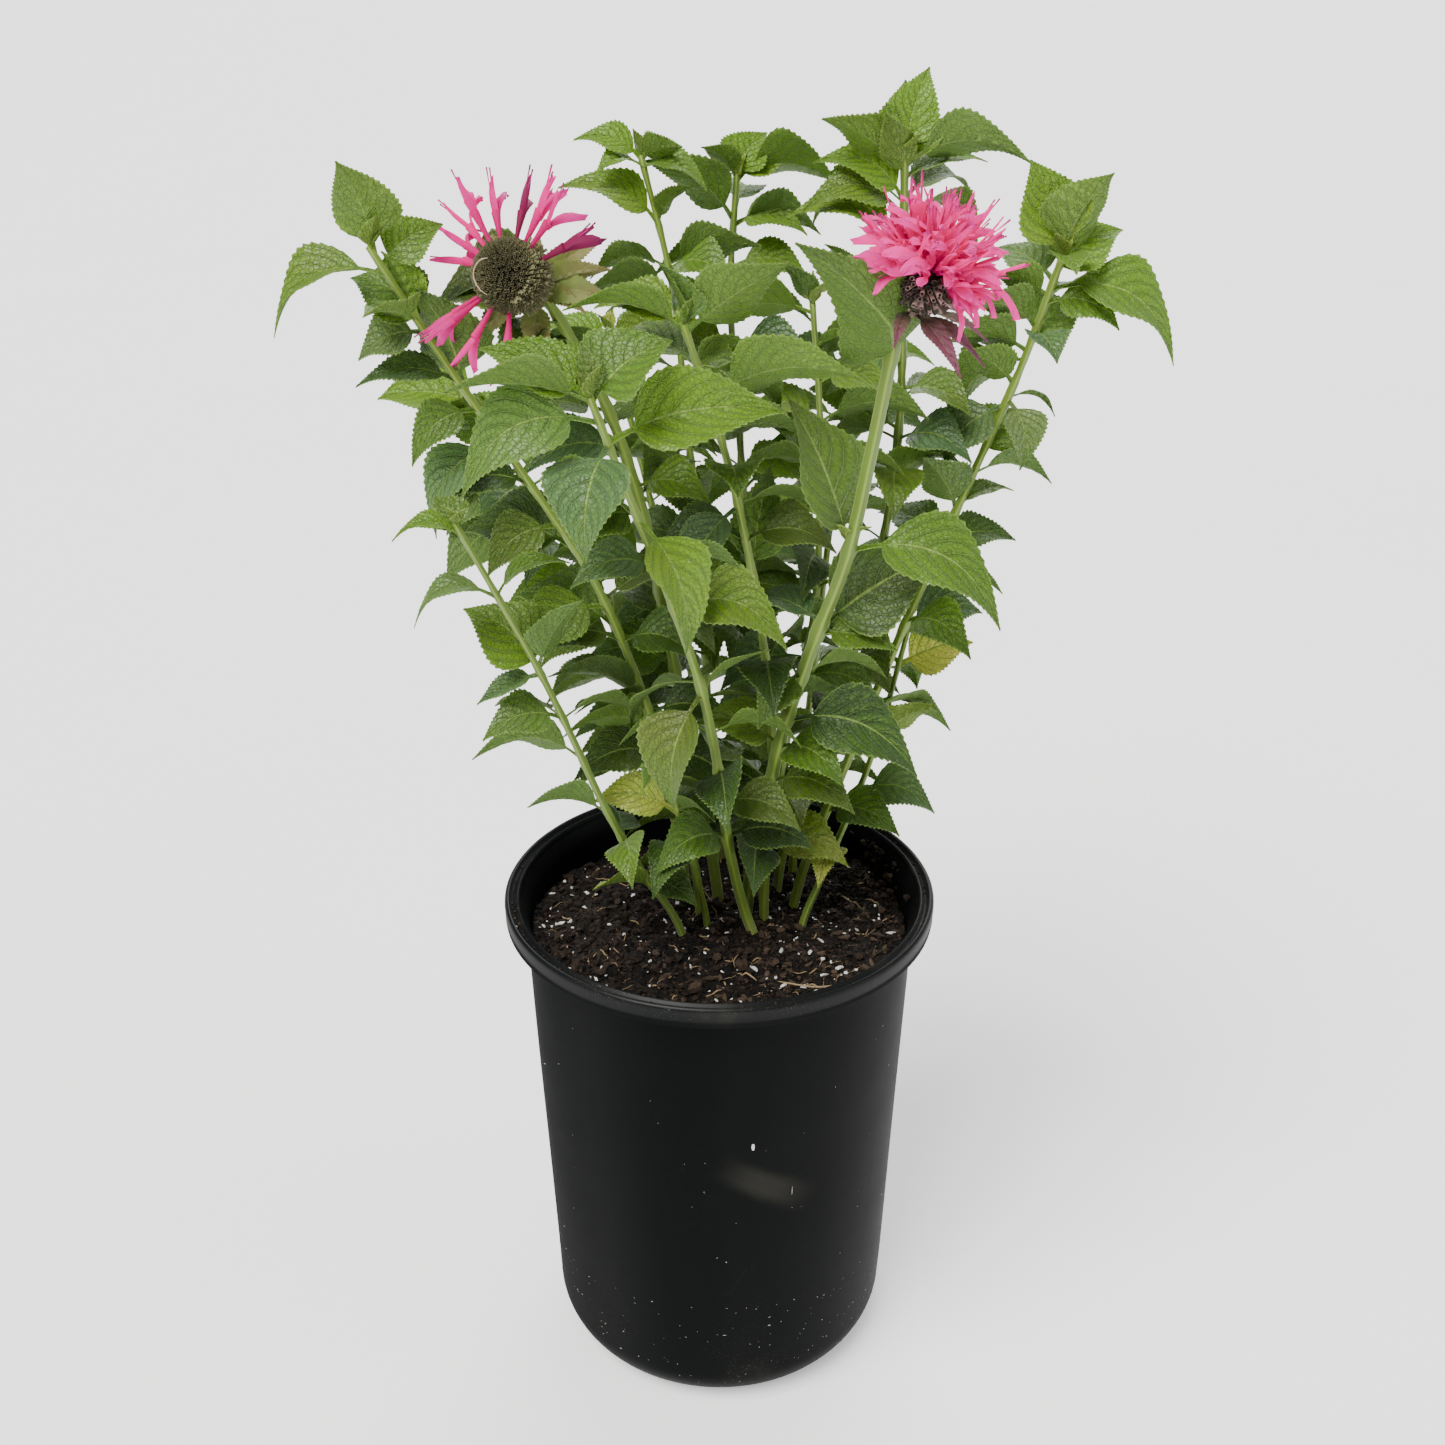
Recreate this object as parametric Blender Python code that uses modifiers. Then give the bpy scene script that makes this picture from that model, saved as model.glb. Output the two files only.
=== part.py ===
"""Potted bee balm: a round nursery pot, its soil, leafy square stems, one open bloom
and one spent head. Metres, +Z up, origin at the centre of the pot's base.
-Y is the front, and +X is on the right there."""
import math

import bmesh
import bpy
from mathutils import Matrix, Vector
from mathutils.bvhtree import BVHTree

MODEL = "potted_bee_balm"
MM = 0.001
UP = Vector((0.0, 0.0, 1.0))
FRONT = Vector((0.0, -1.0, 0.0))

# Pot, in millimetres
POT_HEIGHT = 228.0
RIM_RADIUS = 92.5
RIM_DEPTH = 9.0
RIM_WIDTH = 6.5
NECK_RADIUS = 84.0
FOOT_RADIUS = 76.8
CORNER = 20.7
WALL = 1.8
FLOOR = 2.4
ROUND_STEPS = 24
DRAIN_COUNT = 8
DRAIN_CIRCLE = 50.0
DRAIN_RADIUS = 5.0
FIT = 0.3

# Soil, in millimetres
SOIL_LEVEL = 210.0
SOIL_RINGS = 6
SOIL_FRONT_RISE = 0.075
SOIL_RIGHT_FALL = 0.02
CLUMP = 1.1

# Leaves, in millimetres
LEAF_THICK = 0.65
CLEARANCE = 0.55
PETIOLE_HALF = 0.85
TIP_HALF = 0.35
FOLD = 0.28
BLADE_START = 0.3
BREADTH = 1.2
FOLDED_LENGTH = 44.0
FOUR_ROWS = 37.0
FIVE_ROWS = 50.0
PAIR_BOW = 0.22
PAIR_DROOP = 0.12
PAIR_RATIO = 0.5
PAIR_TURN = 35
TOOTH = 0.12
STEM_SAMPLES = 8
HOLE_OVERSHOOT = 12.0

# Each shoot: the stem's route (x, y, z), its radius at the foot and at the tip, and its leaves.
# A leaf is (height of its node, reach right, reach away, rise, bow, width ratio, turn to front).
# A pair is two plain leaves on opposite sides: (height of their node, direction in degrees, length).
# The fill leaves and pairs come last, after those of every shoot, and close the gaps inside.
SHOOTS = {
    "shoot_front_left": dict(
        route=[(-11, -11, 184), (-14, -15, 210), (-41, -22, 265), (-66, -42, 343), (-93, -56, 410)],
        radius=(1.9, 1.1),
        pairs=[(262, 100, 30)],
        leaves=[
            (238, -24, -10, 6, 3, 0.75, 40), (241, 20, -11, -6, 4, 0.55, 20),
            (304, -43, -4, 4, 10, 0.42, 55), (346, -25, 0, -12, 2, 0.32, 30),
            (348, 18, -2, 30, 3, 0.45, 40), (379, -31, -4, -10, 11, 0.28, 20),
            (380, 26, 4, 13, 6, 0.38, 10), (404, -25, -3, 0, 7, 0.3, 20),
            (405, -12, 13, 10, 2, 0.6, 30),
        ],
        fill=[
            (326, -28, 14, -2, 5, 0.45, 30), (276, -32, 8, 4, 6, 0.6, 45),
        ],
        fill_pairs=[(325, 10, 32)],
    ),
    "shoot_center_left": dict(
        route=[(27, -22, 184), (22, -16, 211), (8, -11, 228), (-5, -36, 330), (-29, -60, 415),
               (-43, -66, 457)],
        radius=(2.5, 1.2),
        pairs=[(262, 20, 36), (296, 95, 38)],
        leaves=[
            (336, -11, -13, -44, 9, 0.5, 0), (337, 26, -2, 18, 3, 0.45, 20),
            (341, -28, 8, -24, 8, 0.42, 10), (374, 42, -12, -9, 11, 0.45, 45),
            (412, 17, -15, -44, 9, 0.48, 0), (413, -36, 26, 4, 6, 0.42, 10),
            (440, -8, -24, -33, 9, 0.62, 0), (441, 60, 10, 9, 6, 0.4, 55),
            (448, -48, -6, -22, 13, 0.42, 55), (455, -49, -8, 8, 5, 0.38, 35),
            (455, 27, 6, 20, 4, 0.75, 40), (456, -38, 9, 15, 4, 0.4, 50),
            (456, -13, 14, 16, 3, 0.6, 30), (457, -2, -1, 19, 1, 0.4, 0),
        ],
        fill=[],
        fill_pairs=[(280, -25, 34), (316, 0, 36), (392, 15, 32)],
    ),
    "shoot_pink": dict(
        route=[(10, 6, 184), (11, 6, 211), (27, -20, 318), (40, -32, 364), (48, -40, 396),
               (57, -50, 455)],
        radius=(2.9, 2.3),
        pairs=[(250, 70, 36), (284, 150, 38)],
        leaves=[
            (316, 52, -14, -16, 11, 0.42, 55), (318, -34, 16, 8, 6, 0.42, 20),
            (360, 45, 8, 26, 3, 0.55, 60), (358, 30, -8, -4, 3, 0.4, 40),
            (362, -28, 22, 2, 5, 0.45, 10), (394, -22, -8, 56, 3, 0.48, 40),
            (394, 56, -14, -25, 15, 0.36, 50), (468, -40, -16, 42, 3, 0.5, 60),
        ],
        fill=[],
        fill_pairs=[(302, -10, 36), (338, 10, 34)],
    ),
    "shoot_center": dict(
        route=[(20, 3, 184), (19, 2, 211), (22, -6, 300), (13, -23, 377), (1, -38, 435),
               (-12, -44, 477)],
        radius=(2.2, 1.2),
        pairs=[(250, -20, 36), (338, 65, 38)],
        leaves=[
            (300, 30, -20, 2, 6, 0.45, 10), (378, 15, 2, 40, 3, 0.42, 50),
            (380, -32, 14, 6, 6, 0.42, 20), (408, -18, -10, -28, 5, 0.5, 20),
            (409, 32, 14, -8, 6, 0.42, 20), (424, 4, -21, -4, 5, 0.8, 0),
            (450, 54, 2, 12, 7, 0.4, 55), (461, 30, -15, -19, 6, 0.68, 15),
            (462, -34, 24, 4, 6, 0.45, 20), (474, 35, -6, 24, 2, 0.5, 55),
            (474, -13, 10, 19, 3, 0.6, 40), (474, -42, -8, 11, 6, 0.36, 30),
            (475, -32, 9, 5, 7, 0.42, 40), (477, -5, -2, 17, 1, 0.4, 0),
        ],
        fill=[],
        fill_pairs=[(272, 20, 34), (318, 5, 36), (358, -15, 34), (394, 10, 34), (436, 0, 32)],
    ),
    "shoot_seed": dict(
        route=[(2, 22, 184), (0, 20, 210), (-31, 6, 399), (-46, 0, 446)],
        radius=(2.5, 1.9),
        pairs=[(246, 0, 36), (272, 95, 38), (418, 20, 38)],
        leaves=[
            (300, -44, -14, -8, 6, 0.42, 50),
            (345, -20, 34, 6, 6, 0.45, 10), (345, 20, -28, 0, 6, 0.45, 0),
            (392, -32, -14, -10, 8, 0.6, 40),
            (436, -14, 34, -4, 8, 0.45, 10), (470, -45, -10, 4, 13, 0.42, 20),
            (471, -14, -26, -18, 8, 0.5, 0), (472, 6, 6, -28, 6, 0.55, 20),
        ],
        fill=[
            (434, -48, 4, -6, 8, 0.5, 50), (372, -42, 8, 0, 7, 0.55, 45),
            (326, -34, -14, 2, 7, 0.55, 45),
        ],
        fill_pairs=[(314, 15, 36), (360, -5, 36), (404, -20, 32)],
    ),
    "shoot_left": dict(
        route=[(-8, 8, 184), (-6, 8, 210), (-36, -9, 340), (-60, -16, 394), (-103, -24, 468),
               (-121, -26, 500)],
        radius=(2.1, 1.2),
        pairs=[(258, -60, 36), (292, 25, 38)],
        leaves=[
            (330, -36, 12, -12, 8, 0.42, 30),
            (362, -34, -8, -20, 7, 0.5, 50), (364, 28, 26, 8, 5, 0.42, 10),
            (396, -27, -6, -18, 6, 0.5, 50), (397, 26, 18, 16, 5, 0.45, 30),
            (428, -27, -8, -32, 10, 0.4, 40),
            (442, -24, -10, -18, 6, 0.42, 50), (452, -36, -6, 0, 6, 0.3, 40),
            (450, -18, -8, 34, 3, 0.62, 50), (474, -16, -20, 6, 3, 0.75, 20),
            (475, -4, -8, 24, 2, 0.45, 60), (490, -42, -3, -20, 12, 0.34, 30),
            (493, 20, 12, 13, 3, 0.6, 50), (497, -8, -10, 32, 3, 0.62, 30),
        ],
        fill=[
            (386, -44, 14, 2, 7, 0.5, 45), (352, -40, 16, 8, 6, 0.55, 45),
            (318, -38, 6, 14, 7, 0.5, 45), (306, -40, 14, 6, 7, 0.55, 45),
            (470, -24, -4, -9, 4, 0.6, 45),
        ],
        fill_pairs=[(312, -20, 34), (346, 5, 34), (412, 10, 32)],
    ),
    "shoot_right": dict(
        route=[(29, 14, 184), (31, 13, 209), (73, 20, 330), (95, 24, 387), (117, 24, 446),
               (129, 20, 490)],
        radius=(2.3, 1.3),
        pairs=[(256, -30, 34), (300, 45, 36), (342, -50, 36)],
        leaves=[
            (374, 32, 6, 2, 5, 0.42, 40), (375, -30, 22, 4, 6, 0.45, 20),
            (389, -16, -8, 24, 3, 0.6, 50), (390, 24, 8, 5, 5, 0.36, 10),
            (434, 6, -10, -25, 7, 0.55, 10), (435, 20, 4, -8, 5, 0.25, 20),
            (440, -22, -8, 15, 3, 0.55, 50), (460, 6, -18, -7, 4, 0.75, 0),
            (474, 26, 10, 0, 5, 0.6, 20), (474, -22, 2, 8, 3, 0.6, 50),
            (477, 49, -5, -27, 14, 0.4, 40), (480, -18, 28, 8, 4, 0.5, 20),
            (488, -8, 7, 37, 3, 0.6, 50), (489, 15, -4, 31, 3, 0.72, 50),
            (489, 2, -16, -3, 3, 0.8, 0),
        ],
        fill=[
            (462, -30, 8, 10, 6, 0.5, 45), (432, -22, -4, -24, 5, 0.6, 40),
            (418, -26, -8, 4, 5, 0.5, 45), (340, 34, 10, 2, 6, 0.5, 45),
            (472, 28, -6, -8, 6, 0.5, 45), (453, -32, -4, 4, 5, 0.55, 50),
        ],
        fill_pairs=[(358, 5, 34), (404, 0, 32)],
    ),
    "shoot_mid_right": dict(
        route=[(19, 18, 184), (18, 17, 210), (30, 13, 300), (39, 8, 357), (39, 12, 429),
               (35, 10, 474)],
        radius=(1.9, 1.1),
        pairs=[(258, -70, 34), (306, 20, 38), (374, 80, 36)],
        leaves=[
            (352, -34, 12, 6, 6, 0.42, 20),
            (392, -28, -3, -3, 5, 0.42, 40), (393, 26, 32, 2, 5, 0.45, 10),
            (428, 43, 8, 0, 8, 0.5, 50), (429, -30, 16, 0, 6, 0.42, 20),
            (457, 18, -11, 2, 5, 0.5, 20), (472, -12, -4, 18, 2, 0.4, 40),
        ],
        fill=[
            (330, -36, 10, 2, 7, 0.5, 45), (338, 34, -4, 2, 6, 0.5, 45),
        ],
        fill_pairs=[(320, -25, 34), (362, -10, 34), (410, 0, 34), (444, -15, 30)],
    ),
    "shoot_top_right": dict(
        route=[(24, 29, 184), (23, 28, 209), (56, 32, 320), (68, 31, 377), (72, 32, 424),
               (69, 30, 524)],
        radius=(2.3, 1.3),
        pairs=[(262, -30, 36), (300, 60, 36)],
        leaves=[
            (344, 34, 28, 2, 7, 0.42, 10),
            (398, 18, -12, 16, 3, 0.75, 30), (399, -28, 26, 2, 5, 0.42, 10),
            (432, 30, 22, -2, 7, 0.42, 20),
            (470, 34, -8, -2, 7, 0.42, 30), (471, -36, 10, 0, 7, 0.42, 30),
            (502, -39, -2, 0, 12, 0.36, 50), (502, 30, 8, -13, 13, 0.42, 30),
            (506, -34, 4, 16, 9, 0.42, 50), (507, -34, 16, -10, 14, 0.36, 30),
            (508, 28, 22, 2, 8, 0.42, 20), (520, 46, -6, 3, 9, 0.36, 55),
            (519, -32, -7, 19, 3, 0.42, 50), (516, -11, 8, 34, 3, 0.6, 60),
            (515, -9, -12, 25, 2, 0.4, 40), (516, 33, 16, 6, 4, 0.25, 20),
            (523, 9, 12, 31, 3, 0.5, 60),
        ],
        fill=[
            (448, -26, -20, -10, 6, 0.5, 45), (436, 10, -30, -6, 6, 0.55, 20),
            (452, -38, 2, -4, 8, 0.5, 50), (496, -42, 14, 6, 8, 0.36, 40),
            (350, 38, 6, -4, 8, 0.5, 45), (420, -28, -12, 4, 5, 0.55, 45),
            (404, 12, -30, -10, 6, 0.55, 20),
        ],
        fill_pairs=[(322, -15, 34), (374, -10, 36), (416, 0, 34)],
    ),
    "shoot_top_mid": dict(
        route=[(13, 39, 184), (13, 38, 209), (12, 50, 330), (9, 55, 405), (4, 62, 480),
               (7, 64, 514)],
        radius=(2.0, 1.2),
        pairs=[(280, 0, 40), (326, 80, 38), (350, 20, 42), (398, -25, 42)],
        leaves=[
            (372, 28, 28, 4, 7, 0.42, 10),
            (424, -18, 34, 2, 7, 0.42, 10), (425, 32, -14, 2, 7, 0.42, 30),
            (460, 34, 4, -4, 8, 0.42, 30), (461, -36, 8, -4, 9, 0.42, 30),
            (494, 29, -5, -1, 6, 0.45, 40), (496, -34, -8, 26, 5, 0.42, 55),
            (501, 8, 32, 2, 6, 0.45, 10), (512, 12, 8, 17, 3, 0.75, 40),
            (512, -14, -10, 13, 3, 0.5, 30),
        ],
        fill=[
            (440, -38, -14, 8, 6, 0.5, 50), (388, 34, -10, 14, 6, 0.55, 50),
            (336, 6, -40, -6, 9, 0.5, 10), (511, 26, -4, 10, 4, 0.5, 45),
            (413, 24, -24, 0, 6, 0.6, 20),
        ],
        fill_pairs=[(364, -20, 34), (412, 0, 36), (446, -20, 34), (478, -10, 32)],
    ),
    "shoot_top_left": dict(
        route=[(-1, 45, 184), (-2, 44, 209), (-6, 38, 320), (-12, 40, 410), (-21, 50, 491),
               (-30, 52, 522)],
        radius=(2.0, 1.1),
        pairs=[(276, -20, 38), (320, 60, 38), (342, 10, 42), (392, 95, 40)],
        leaves=[
            (366, -38, 14, 0, 9, 0.42, 30),
            (420, 32, 16, 4, 7, 0.45, 30), (421, -36, -8, 0, 8, 0.42, 30),
            (458, -18, 32, 2, 7, 0.42, 10), (459, 30, -12, 6, 6, 0.45, 30),
            (496, -38, -4, 15, 8, 0.36, 40), (497, 14, -3, 15, 3, 0.5, 30),
            (518, 26, 8, 3, 5, 0.42, 20), (518, -19, -6, -5, 6, 0.45, 20),
            (521, 16, -10, 5, 2, 0.6, 50),
        ],
        fill=[
            (478, 36, -6, 12, 5, 0.5, 50), (438, 40, -10, 6, 6, 0.5, 50),
            (400, -38, -6, 10, 6, 0.55, 50), (470, -36, -14, 2, 6, 0.45, 45),
            (452, -30, -20, -2, 6, 0.5, 45), (334, 10, -36, -4, 8, 0.5, 10),
            (520, -26, 2, 8, 5, 0.4, 45), (406, -22, -26, -4, 6, 0.6, 20),
        ],
        fill_pairs=[(356, -25, 34), (440, -15, 34), (480, -10, 32)],
    ),
    "shoot_back_left": dict(
        route=[(-14, 34, 184), (-14, 33, 209), (-32, 34, 290), (-50, 36, 346), (-84, 44, 400),
               (-94, 46, 424)],
        radius=(1.8, 1.1),
        pairs=[(250, 110, 34)],
        leaves=[
            (290, -30, -16, 0, 7, 0.45, 30), (291, 10, 34, 2, 7, 0.42, 10),
            (330, -32, -8, -12, 8, 0.42, 40), (331, -4, 36, 4, 7, 0.42, 10),
            (368, -16, -30, -6, 8, 0.42, 20),
            (396, -32, -8, -8, 9, 0.42, 30), (397, 14, 30, 4, 6, 0.42, 20),
            (420, -24, -10, 6, 5, 0.42, 30),
        ],
        fill=[
            (392, -14, -36, -8, 8, 0.5, 20), (348, -38, -6, -4, 7, 0.5, 45),
        ],
        fill_pairs=[],
    ),
    "shoot_back_right": dict(
        route=[(33, 42, 184), (33, 41, 208), (42, 62, 300), (52, 82, 397), (60, 92, 466)],
        radius=(2.0, 1.1),
        pairs=[(256, 30, 34)],
        leaves=[
            (300, 12, 36, -6, 9, 0.42, 10),
            (345, 38, 12, 0, 9, 0.42, 30), (346, -36, 16, 0, 9, 0.42, 30),
            (390, 8, 42, 0, 10, 0.42, 10), (391, -4, -32, 6, 7, 0.42, 10),
            (430, 38, 12, 2, 8, 0.42, 30), (431, -38, 2, 0, 9, 0.42, 30),
            (460, 8, 32, 6, 6, 0.42, 10), (464, -16, -6, 20, 3, 0.45, 20),
        ],
        fill=[],
        fill_pairs=[(368, 0, 36), (410, -5, 36)],
    ),
    "shoot_back": dict(
        route=[(3, 61, 184), (2, 61, 208), (-14, 76, 300), (-32, 88, 380), (-48, 98, 446)],
        radius=(2.0, 1.1),
        pairs=[(250, 60, 34), (350, 0, 42)],
        leaves=[
            (284, -36, 10, -4, 9, 0.42, 30), (285, 34, 16, -2, 9, 0.42, 30),
            (330, 2, 38, -2, 9, 0.42, 10),
            (372, -40, 4, 0, 9, 0.42, 30), (373, 38, 10, 0, 8, 0.42, 30),
            (410, -6, 38, 0, 8, 0.42, 10),
            (438, -32, 4, 8, 6, 0.42, 30), (439, 26, 10, 12, 5, 0.42, 30),
        ],
        fill=[],
        fill_pairs=[(392, 0, 36)],
    ),
    "shoot_low_right": dict(
        route=[(37, -4, 184), (36, -4, 209), (52, 12, 244), (68, 30, 280), (82, 38, 338)],
        radius=(1.8, 1.1),
        pairs=[],
        leaves=[
            (240, -8, -26, -4, 8, 0.5, 0), (262, 32, -12, -4, 8, 0.5, 40),
            (286, 4, -18, 32, 2, 0.5, 50),
            (287, 32, 16, -6, 8, 0.42, 30), (298, 22, -12, 16, 6, 0.55, 40),
            (316, 32, 4, 10, 3, 0.55, 60), (317, -30, 12, 6, 6, 0.42, 30),
            (334, 30, 2, 6, 4, 0.35, 30),
        ],
        fill=[],
        fill_pairs=[],
    ),
    "shoot_low_front": dict(
        route=[(-5, -4, 184), (-5, -5, 210), (-12, -16, 252), (-22, -26, 300)],
        radius=(1.6, 1.0),
        pairs=[],
        leaves=[
            (236, -32, -8, -2, 9, 0.6, 40), (256, -10, -28, -8, 8, 0.5, 10),
            (257, 30, -10, 2, 6, 0.5, 30), (274, -36, 6, 0, 8, 0.42, 50),
            (275, 24, -14, 8, 5, 0.45, 30), (292, -10, -22, 8, 5, 0.45, 10),
        ],
        fill=[],
        fill_pairs=[],
    ),
}

# Flower heads: centre and axis of each, in millimetres
BLOOM_CENTRE = (68.5, -57.0, 494.0)
BLOOM_AXIS = (0.38, -0.34, 0.86)
BLOOM_CORE = 10.0
CALYX_RADIUS = 11.0
CALYX_COUNT = 8
CALYX_TILT = 106.0
CALYX_REACH = 10.9
CALYX_LENGTH = 5.0
CALYX_WIDE = 1.5
CALYX_NARROW = 0.9
BLOOM_RINGS = ((4, 10, 28), (9, 31, 31), (11, 51, 33), (12, 70, 32), (9, 84, 28))
BLOOM_ROOT = 6.0
BLOOM_RAISE = 2.5
BLOOM_DROOP = 0.03
FLATNESS = 0.9
PETAL_WIDTH = 4.8
PETAL_FORM = (0.5, 1.0, 0.6)
PETAL_THICK = 0.8
SEED_CENTRE = (-72.0, -32.0, 491.0)
SEED_AXIS = (-0.42, -0.76, 0.46)
SEED_RADIUS = 13.0
SEED_PIMPLE = 1.2
SEED_FLORET_ANGLES = (27, 48, 65, 78, 98, 117, 130, 142, 157, 168, 222, 235, 256, 281)
SEED_FLORET_REACH = 27.0
SEED_FLORET_TILT = 86.0
SEED_FLORET_SWAY = 12.0
SEED_FLORET_DROOP = 3.0
BRACT_LENGTH = 22.0
BLOOM_BRACT_ANGLES = (40, 90, 250, 285, 320, 355)
SEED_BRACT_ANGLES = (0, 60, 140, 220, 300, 330)
BRACT_RATIO = 0.3
BRACT_BOW = 3.0
BRACT_ROOT = 2.0
COLLAR_TOP = 4.4
COLLAR_FOOT = 3.6
COLLAR_HEIGHT = 2.4
NECK_LENGTH = 8.0
BLOOM_BELOW = FLATNESS * CALYX_RADIUS
SEED_BELOW = SEED_RADIUS + 0.3

# The flower head that each flowering stem ends in: centre, axis and depth below the centre
HEADS = {
    "shoot_pink": (BLOOM_CENTRE, BLOOM_AXIS, BLOOM_BELOW),
    "shoot_seed": (SEED_CENTRE, SEED_AXIS, SEED_BELOW),
}

# Ways in which a leaf is bent clear of its neighbours: turn, lift and size
TURNS = (0, 8, -8, 16, -16, 26, -26, 38, -38, 52, -52)
LIFTS = (0, 10, -10, 22, -22)
SIZES = (1.0, 0.85, 0.7)


def clear_scene():
    for old in list(bpy.data.objects):
        bpy.data.objects.remove(old, do_unlink=True)


def make_collection(name):
    collection = bpy.data.collections.new(name)
    bpy.context.scene.collection.children.link(collection)
    return collection


def make_material(name, colour, roughness, metallic=0.0):
    material = bpy.data.materials.new(name)
    material.use_nodes = True
    shader = material.node_tree.nodes["Principled BSDF"]
    shader.inputs["Base Color"].default_value = (*colour, 1.0)
    shader.inputs["Roughness"].default_value = roughness
    shader.inputs["Metallic"].default_value = metallic
    return material


def add_object(name, mesh, collection, material=None):
    thing = bpy.data.objects.new(name, mesh)
    collection.objects.link(thing)
    if material:
        mesh.materials.clear()
        mesh.materials.append(material)
    return thing


def mesh_from_bmesh(name, shape):
    mesh = bpy.data.meshes.new(name)
    shape.to_mesh(mesh)
    shape.free()
    return mesh


def bake(thing, name):
    """The evaluated object as a plain mesh with its caps welded; the object is removed."""
    graph = bpy.context.evaluated_depsgraph_get()
    mesh = bpy.data.meshes.new_from_object(thing.evaluated_get(graph))
    mesh.name = name
    mesh.transform(thing.matrix_world)
    shape = bmesh.new()
    shape.from_mesh(mesh)
    bmesh.ops.remove_doubles(shape, verts=shape.verts, dist=0.01 * MM)
    bmesh.ops.recalc_face_normals(shape, faces=shape.faces)
    shape.to_mesh(mesh)
    shape.free()
    bpy.data.objects.remove(thing, do_unlink=True)
    return mesh


def turned(name, profile, collection):
    """A profile of (radius, height) points in millimetres, turned round the Z axis."""
    shape = bmesh.new()
    points = [shape.verts.new((radius * MM, 0.0, height * MM)) for radius, height in profile]
    for first, second in zip(points, points[1:]):
        shape.edges.new((first, second))
    thing = add_object(name, mesh_from_bmesh(name, shape), collection)
    screw = thing.modifiers.new("turn", "SCREW")
    screw.angle = math.tau
    screw.steps = ROUND_STEPS
    screw.render_steps = ROUND_STEPS
    screw.use_smooth_shade = True
    screw.use_merge_vertices = True
    screw.merge_threshold = 0.05 * MM
    return thing


def cut(thing, cutter):
    boolean = thing.modifiers.new("cut " + cutter.name, "BOOLEAN")
    boolean.operation = "DIFFERENCE"
    boolean.object = cutter
    boolean.solver = "EXACT"
    cutter.hide_render = True
    cutter.display_type = "WIRE"


def fuse(body, pieces, collection):
    """One union of the body with every piece, as a single closed mesh."""
    group = bpy.data.collections.new("pieces")
    collection.children.link(group)
    for mesh in pieces:
        add_object(mesh.name, mesh, group)
    union = body.modifiers.new("fuse", "BOOLEAN")
    union.operation = "UNION"
    union.operand_type = "COLLECTION"
    union.collection = group
    union.solver = "EXACT"
    bpy.context.view_layer.objects.active = body
    bpy.ops.object.modifier_apply(modifier="fuse")
    for piece in list(group.objects):
        bpy.data.objects.remove(piece, do_unlink=True)
    bpy.data.collections.remove(group)


def wall_radius(height):
    """Outer radius of the pot's tapering wall at a height."""
    share = (height - CORNER) / (POT_HEIGHT - RIM_DEPTH - CORNER)
    return FOOT_RADIUS + (NECK_RADIUS - FOOT_RADIUS) * share


def corner_arc(radius, height, bend, steps):
    """Points round the pot's bottom corner, from the wall down to the floor."""
    points = []
    for step in range(steps + 1):
        angle = math.radians(90.0 * step / steps)
        points.append((radius - bend + bend * math.cos(angle), height + bend - bend * math.sin(angle)))
    return points


def build_pot(collection, cutters):
    lip = POT_HEIGHT - RIM_DEPTH
    inner_rim = RIM_RADIUS - RIM_WIDTH
    inner = corner_arc(FOOT_RADIUS - WALL, FLOOR, CORNER - FLOOR, 3)
    profile = [(0.0, FLOOR)] + inner[::-1]
    profile += [(NECK_RADIUS - WALL, lip - 2.0), (inner_rim, POT_HEIGHT - 2.6)]
    profile += [(inner_rim + 0.7, POT_HEIGHT - 0.5), (inner_rim + 2.0, POT_HEIGHT - 0.5)]
    profile += [(inner_rim + 3.2, POT_HEIGHT - 1.6), (RIM_RADIUS - 1.8, POT_HEIGHT)]
    profile += [(RIM_RADIUS - 0.3, POT_HEIGHT - 1.0), (RIM_RADIUS, POT_HEIGHT - 3.0)]
    profile += [(RIM_RADIUS, lip + 0.8), (RIM_RADIUS - 1.2, lip), (NECK_RADIUS, lip - 1.2)]
    profile += corner_arc(FOOT_RADIUS, 0.0, CORNER, 4) + [(0.0, 0.0)]
    pot = turned("pot", profile, collection)
    for index in range(DRAIN_COUNT):
        angle = math.tau * (index + 0.5) / DRAIN_COUNT
        shape = bmesh.new()
        place = Matrix.Translation((DRAIN_CIRCLE * MM * math.cos(angle),
                                    DRAIN_CIRCLE * MM * math.sin(angle), 0.5 * FLOOR * MM))
        bmesh.ops.create_cone(shape, cap_ends=True, segments=8, radius1=DRAIN_RADIUS * MM,
                              radius2=DRAIN_RADIUS * MM, depth=3.0 * FLOOR * MM, matrix=place)
        drain = add_object("drain_%d" % index, mesh_from_bmesh("drain", shape), cutters)
        cut(pot, drain)
    pot.data.materials.append(make_material("black plastic", (0.012, 0.013, 0.014), 0.42))
    return pot


def soil_height(x, y):
    """Height of the soil in millimetres: higher at the front, with clumps."""
    slope = -SOIL_FRONT_RISE * y - SOIL_RIGHT_FALL * x
    clumps = math.sin(0.21 * x + 1.3) * math.cos(0.18 * y - 0.4)
    clumps += 0.7 * math.sin(0.43 * x - 0.31 * y) + 0.5 * math.cos(0.37 * y + 0.55 * x + 2.0)
    return SOIL_LEVEL + slope + CLUMP * clumps


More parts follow.
